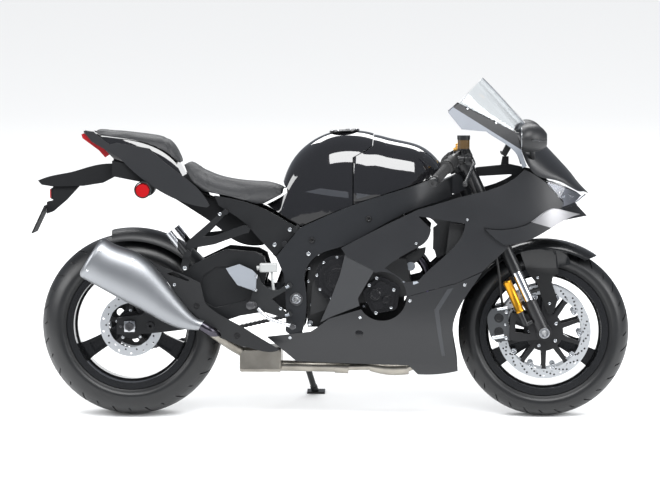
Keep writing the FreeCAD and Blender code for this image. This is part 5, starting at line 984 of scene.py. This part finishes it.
def bake(piece):
    """Applies a piece's modifiers."""
    ready = piece.evaluated_get(bpy.context.evaluated_depsgraph_get())
    mesh = bpy.data.meshes.new_from_object(ready)
    piece.modifiers.clear()
    piece.data = mesh


def stand_in(piece, node, material, body):
    """Dresses a copy, hands it to its body and shows it in place of its CAD part."""
    piece.data.materials.clear()
    piece.data.materials.append(material)
    piece.data.shade_smooth()
    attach(piece, body)
    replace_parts(piece, node)


# %% Padded seats
VOXEL, SHRINK, CAP_MOVE = 0.005, 0.003, 0.006
CHANNEL_HALF = 7
FRAMES = 20
UP = (PLACE.to_3x3() @ Vector((0, 0, 1))).normalized()
seat_vinyl = finish("seat_vinyl", (0.0095, 0.0103, 0.012), 0.52, tone=0.1, grain=0.9, grain_scale=1400,
                    depth=0.0005)


def inflate(piece):
    """Cloth with air pressure, its underside held; no point moves farther than CAP_MOVE."""
    start = [vertex.co.copy() for vertex in piece.data.vertices]
    held = piece.vertex_groups.new(name="held")
    held.add([vertex.index for vertex in piece.data.vertices if vertex.normal.dot(UP) < -0.3], 1.0, "REPLACE")
    cloth = piece.modifiers.new("Cover", "CLOTH")
    cloth.settings.vertex_group_mass = "held"
    cloth.settings.use_pressure = True
    cloth.settings.uniform_pressure_force = 4
    cloth.settings.effector_weights.gravity = 0
    cloth.point_cache.frame_start, cloth.point_cache.frame_end = 1, FRAMES
    for step in range(1, FRAMES + 1):
        bpy.context.scene.frame_set(step)
    bake(piece)
    bpy.context.scene.frame_set(1)
    for vertex, old in zip(piece.data.vertices, start):
        move = vertex.co - old
        vertex.co = old + move * min(1, CAP_MOVE / max(move.length, 1e-6))


def padded_seat(name, node, x, z, slope, depth):
    """Seat pad with one sewn channel through (x, z), leaning by slope and depth millimetres deep."""
    piece = merged_copy(name, node)
    squares = piece.modifiers.new("Squares", "REMESH")
    squares.mode = "VOXEL"
    squares.voxel_size = VOXEL
    bake(piece)
    for vertex, normal in [(vertex, vertex.normal.copy()) for vertex in piece.data.vertices]:
        vertex.co -= normal * SHRINK
    piece.data.update()
    inflate(piece)
    for vertex in piece.data.vertices:
        place = TO_BOARD @ vertex.co
        away = abs((place.x - x) * math.cos(slope) + (place.z - z) * math.sin(slope))
        if away < CHANNEL_HALF and vertex.normal.dot(UP) > -0.2:
            vertex.co -= vertex.normal * (depth / 1000 * (1 - (away / CHANNEL_HALF) ** 2))
    smooth = piece.modifiers.new("Smooth", "SUBSURF")
    smooth.levels = smooth.render_levels = 1
    stand_in(piece, node, seat_vinyl, "chassis")
    print(name, "squares:", len(piece.data.polygons))


padded_seat("rider_seat_pad", "rider_seat", 262, 840, 0.35, 1.2)
padded_seat("pillion_seat_pad", "pillion_seat", 114, 988, 0.43, 2.2)

# %% [markdown]
# ## Tyres with tread
# A road tyre is a round carcass with slanted rain grooves. Boolean cuts would leave a ragged mesh, so the
# tyre is built as a grid whose columns already follow the grooves: the section is read from the CAD tyre,
# each column is swept back towards the shoulder, and the columns that lie in a groove are pushed in.

# %% Grooved tyres
FRACTIONS = (0, 0.11, 0.22, 0.31, 0.32, 0.355, 0.365, 0.5, 0.61, 0.72, 0.81, 0.82, 0.855, 0.865)
FIRST, SECOND = (0.32, 0.355), (0.82, 0.855)
PERIODS = 16
GROOVE_DEPTH, GROOVE_SWEEP = 3.6, 0.42
BEAD_RADIUS, ARCH_RADIUS = 216, 232


def tyre_section(node, centre, radius):
    """The CAD tyre's section: (y, height over the axle, degrees round the section)."""
    section = []
    target = centre + Vector((0, 0, (radius + BEAD_RADIUS) / 2))
    for degrees in (*range(-128, -64, 6), *range(-64, 65, 4), *range(68, 131, 6)):
        angle = math.radians(degrees)
        way = Vector((0, math.sin(angle), math.cos(angle)))
        point, _, _, distance = tree_of(node).ray_cast(target + way * 170, -way)
        if point is not None and distance < 168:
            section.append((point.y - centre.y, point.z - centre.z, degrees))
    return section


def grooved_tyre(name, node, centre, body, radius, width):
    bm = bmesh.new()
    rows = []
    steps = [(period, fraction) for period in range(PERIODS) for fraction in FRACTIONS]
    for y, far, degrees in tyre_section(node, centre, radius):
        share = min(1, abs(y) / (width / 2))
        row = []
        for period, fraction in steps:
            long_groove = fraction in (FIRST if y < 0 else SECOND) and y != 0
            short_groove = fraction in (SECOND if y < 0 else FIRST) and y != 0
            deep = long_groove and 0.12 < share < 0.9 or short_groove and 0.55 < share < 0.95
            angle = math.tau * (period + fraction + GROOVE_SWEEP * share ** 1.4) / PERIODS
            push = GROOVE_DEPTH if deep and abs(degrees) < 66 else 0
            reach = far - push * math.cos(math.radians(degrees))
            out = y - push * math.sin(math.radians(degrees))
            row.append(bm.verts.new(centre + Vector((math.sin(angle) * reach, out, math.cos(angle) * reach))))
        rows.append(row)
    angles = [math.tau * (period + fraction) / PERIODS for period, fraction in steps]
    rows.append([bm.verts.new(centre + Vector((math.sin(angle), 0, math.cos(angle))) * ARCH_RADIUS)
                 for angle in angles])
    for low, high in zip(rows, rows[1:] + rows[:1]):
        for k in range(len(steps)):
            bm.faces.new((low[k - 1], low[k], high[k], high[k - 1]))
    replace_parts(make_piece(name, bm, tyre_rubber, body, 40), node)


grooved_tyre("front_tyre_tread", "front_tyre", FRONT, "front_wheel", 299.9, 120)
grooved_tyre("rear_tyre_tread", "rear_tyre", REAR, "rear_wheel", 320.4, 190)

# %% [markdown]
# ## What shows in the gaps
# On the real bike every gap between panels shows something dark: the airbox and the tank's base, the clutch
# side of the crankcase, the radiator's fan shroud. Without them daylight would shine through. They are plain
# castings and mouldings, raised from outlines in side view. Between rail and frame, thin dark plates stand
# for the lug that joins them and fill that gap with painted shade.

# %% Airbox, tank base, rail lug plates with painted shade
TANK_BASE = [(552, 772), (546, 812), (566, 850), (625, 905), (680, 935), (740, 952), (860, 948),
             (950, 915), (1020, 890), (1060, 868), (1040, 842), (903, 784), (784, 742), (732, 722),
             (670, 696), (600, 668), (560, 700), (520, 740)]
bm, lug_shade_plates = bmesh.new(), bmesh.new()
side_plate(bm, TANK_BASE, 60, -60, 3)
# Thin dark plates behind the gap between rail and frame: they stand for the lug there and paint the gap's
# shade.
for near in (-101, 107):
    side_plate(lug_shade_plates, [(500, 572), (586, 678), (612, 652), (526, 548)], near, near - 6, 1)
make_piece("airbox_and_tank_base", bm, matte_black)
make_piece("rail_lug_painted_shade", lug_shade_plates, black_metal)

# %% Crankcase side and its screws
CASE = [(622, 318), (620, 440), (622, 548), (640, 580), (680, 598), (720, 606), (800, 606), (800, 318)]
EAR = [(960, 545), (996, 543), (1010, 551), (1034, 580), (1036, 600), (1010, 594), (950, 560)]
CASE_SCREWS = ((660, 574, 5.5), (628, 524, 5.5), (625, 478, 5.5), (636, 397, 6), (715, 597, 5),
               (631, 332, 11))
bm, case_screws = bmesh.new(), bmesh.new()
side_plate(bm, CASE, 92, -120, 4)
side_plate(bm, EAR, -118, -140, 3)
for x, z, radius in CASE_SCREWS:
    screw(case_screws, (x, -120, z), (0, -1, 0), radius)
make_piece("crankcase_side", bm, engine_cast)
make_piece("crankcase_screws", case_screws, bolt_steel)

# %% Behind the fairing's opening
SHROUD = [(1061, 629), (1060, 593), (1068, 587), (1074, 556), (1097, 571), (1135, 602), (1164, 647),
          (1170, 678), (1164, 685), (1086, 698), (1050, 700), (1066, 690), (1078, 678), (1061, 667)]
cap_grey = finish("cap_grey", (0.3, 0.32, 0.35), 0.4, 0.8, grain=0.2)
bm, caps = bmesh.new(), bmesh.new()
side_plate(bm, SHROUD, -96, -122, 2)
turn(caps, [(0, 3), (11, 3), (12, 4), (15, 4), (16, 2), (16, -14), (0, -14)], flat((983, -140, 533)), 40)
turn(caps, [(0, 2), (13, 2), (14, 1), (14, -14), (0, -14)], flat((949, -140, 529)), 32)
for k in (-1, 0, 1):
    block(caps, flat((949 + 7 * k, -143, 529)), (22, 3, 2.5), 0.8)
make_piece("fan_shroud", bm, matte_black)
make_piece("cylinder_caps", caps, cap_grey)

# %% [markdown]
# ## Pivot and smaller fixings
# The swingarm turns on a hollow shaft whose ends show as a bright ring in a dark one. Around it, cap
# screws hold the footrest brackets, the pillion hangers, the screen, the tail and the mudguard.

# %% Pivot rings and bracket bolts
PIVOT = (584, 418)
bm, dark = bmesh.new(), bmesh.new()
for side in (-1, 1):
    point, _ = on_side("main_frame axles", 614, 434, side)
    ring = flat((PIVOT[0], point.y, PIVOT[1]), side)
    turn(bm, [(11, -4), (11, 2), (13, 3), (15, 2.4), (16, 1), (16, -4), (11, -4)], ring, 48)
    turn(dark, [(16.4, -4), (16.4, 1.6), (18, 2.2), (22, 2), (23, 0), (23, -4), (16.4, -4)], ring, 48)
screws_on(bm, "footrests main_frame swingarm", least=100,
          spots=[(525, 462, 6.5), (530, 387, 6.5), (446, 500, 5.5), (444, 452, 5.5)])
screws_on(bm, "pillion_footrests silencer_shield subframe", [(196, 527, 8.5), (318, 716, 6.5)], least=60)
make_piece("bracket_bolts", bm, bolt_steel)
make_piece("pivot_rings", dark, dark_steel)

# %% Screen, tail and mudguard screws, reflector bezels
BEZEL = [(25.5, 1), (26, 2.2), (28.5, 2.2), (29.5, 1), (29.5, -8), (25.5, -8), (25.5, 1)]
bm, bezels, bolts = bmesh.new(), bmesh.new(), bmesh.new()
screws_on(bm, "cowl_wings windscreen", [(1180, 1082, 4), (1280, 1034, 4)], straight=False)
screws_on(bm, "tail_panels", [(250, 800, 4.5)], straight=False)
screws_on(bolts, "front_fender", [(1427, 490, 5), (1469, 399, 5)])


def corners(node, side):
    """The points of a CAD part that lie on one side of the bike."""
    points = [TO_BOARD @ vertex.co for vertex in frame["nodes"][node].data.vertices]
    return [point for point in points if point.y * side > 0]


def middle(points, axis):
    """Half way between the lowest and the highest value along one axis."""
    values = [point[axis] for point in points]
    return (min(values) + max(values)) / 2


for side in (-1, 1):
    lens = corners("side_reflectors", side)
    reach = max(point.y * side for point in lens)
    turn(bezels, BEZEL, flat((middle(lens, 0), side * reach, middle(lens, 2)), side), 48)
make_piece("panel_screws", bm, bolt_steel)
make_piece("reflector_bezels", bezels, matte_black)
make_piece("fender_bolts", bolts, bolt_steel, "steering")

# %% [markdown]
# ## Gold sleeves and the plate reflector
# A pressurised fork carries its oil reservoir outside the leg, in a gold anodised sleeve. The sleeve is
# turned with a lip at each end. Below the number plate's arm sits a small red reflector in a black shoe.

# %% Sleeves on the fork reservoirs
bm = bmesh.new()
for side in (-1, 1):
    y = middle(corners("fork_reservoirs", side), 1)
    low, high = Vector((1366, y, 374)), Vector((1319, y, 478))
    length = (high - low).length
    sleeve = [(11, -2), (15, -2), (15.6, 0), (15.6, 5), (15, 6), (15, length - 6), (15.6, length - 5),
              (15.6, length), (15, length + 2), (11, length + 2), (11, -2)]
    turn(bm, sleeve, facing(low, high - low), 40)
make_piece("reservoir_sleeves", bm, fork_gold, "steering")

# %% Number-plate reflector
shoe, lens = bmesh.new(), bmesh.new()
block(shoe, board(-283, 0, 780), (8, 44, 40))
block(lens, board(-288, 0, 780), (8, 38, 32))
make_piece("plate_reflector_shoe", shoe, rough_black)
make_piece("plate_reflector", lens, red_lens)

# %% [markdown]
# ## A shorter front mudguard
# In the photo the mudguard's blade ends in a point above the wheel, and the tyre runs on in front of it.
# A copy of the CAD blade is cut with a wedge-shaped cutter; a boolean keeps its walls closed.

# %% Cut mudguard
WEDGE = [(1500, 300), (1500, 528), (1560, 540), (1646, 568), (1800, 700), (1800, 300)]
bm = bmesh.new()
side_plate(bm, WEDGE, 200, -200)
bmesh.ops.recalc_face_normals(bm, faces=bm.faces)
bm.transform(PLACE)
cutter = link("blade_cutter", bm)
blade = merged_copy("front_fender_blade", "front_fender")
cut = blade.modifiers.new("Cut", "BOOLEAN")
cut.operation, cut.solver, cut.object = "DIFFERENCE", "EXACT", cutter
bake(blade)
bpy.data.objects.remove(cutter)
stand_in(blade, "front_fender", fender_paint, "steering")
blade.data.set_sharp_from_angle(angle=math.radians(16))
print("mudguard faces:", len(blade.data.polygons))
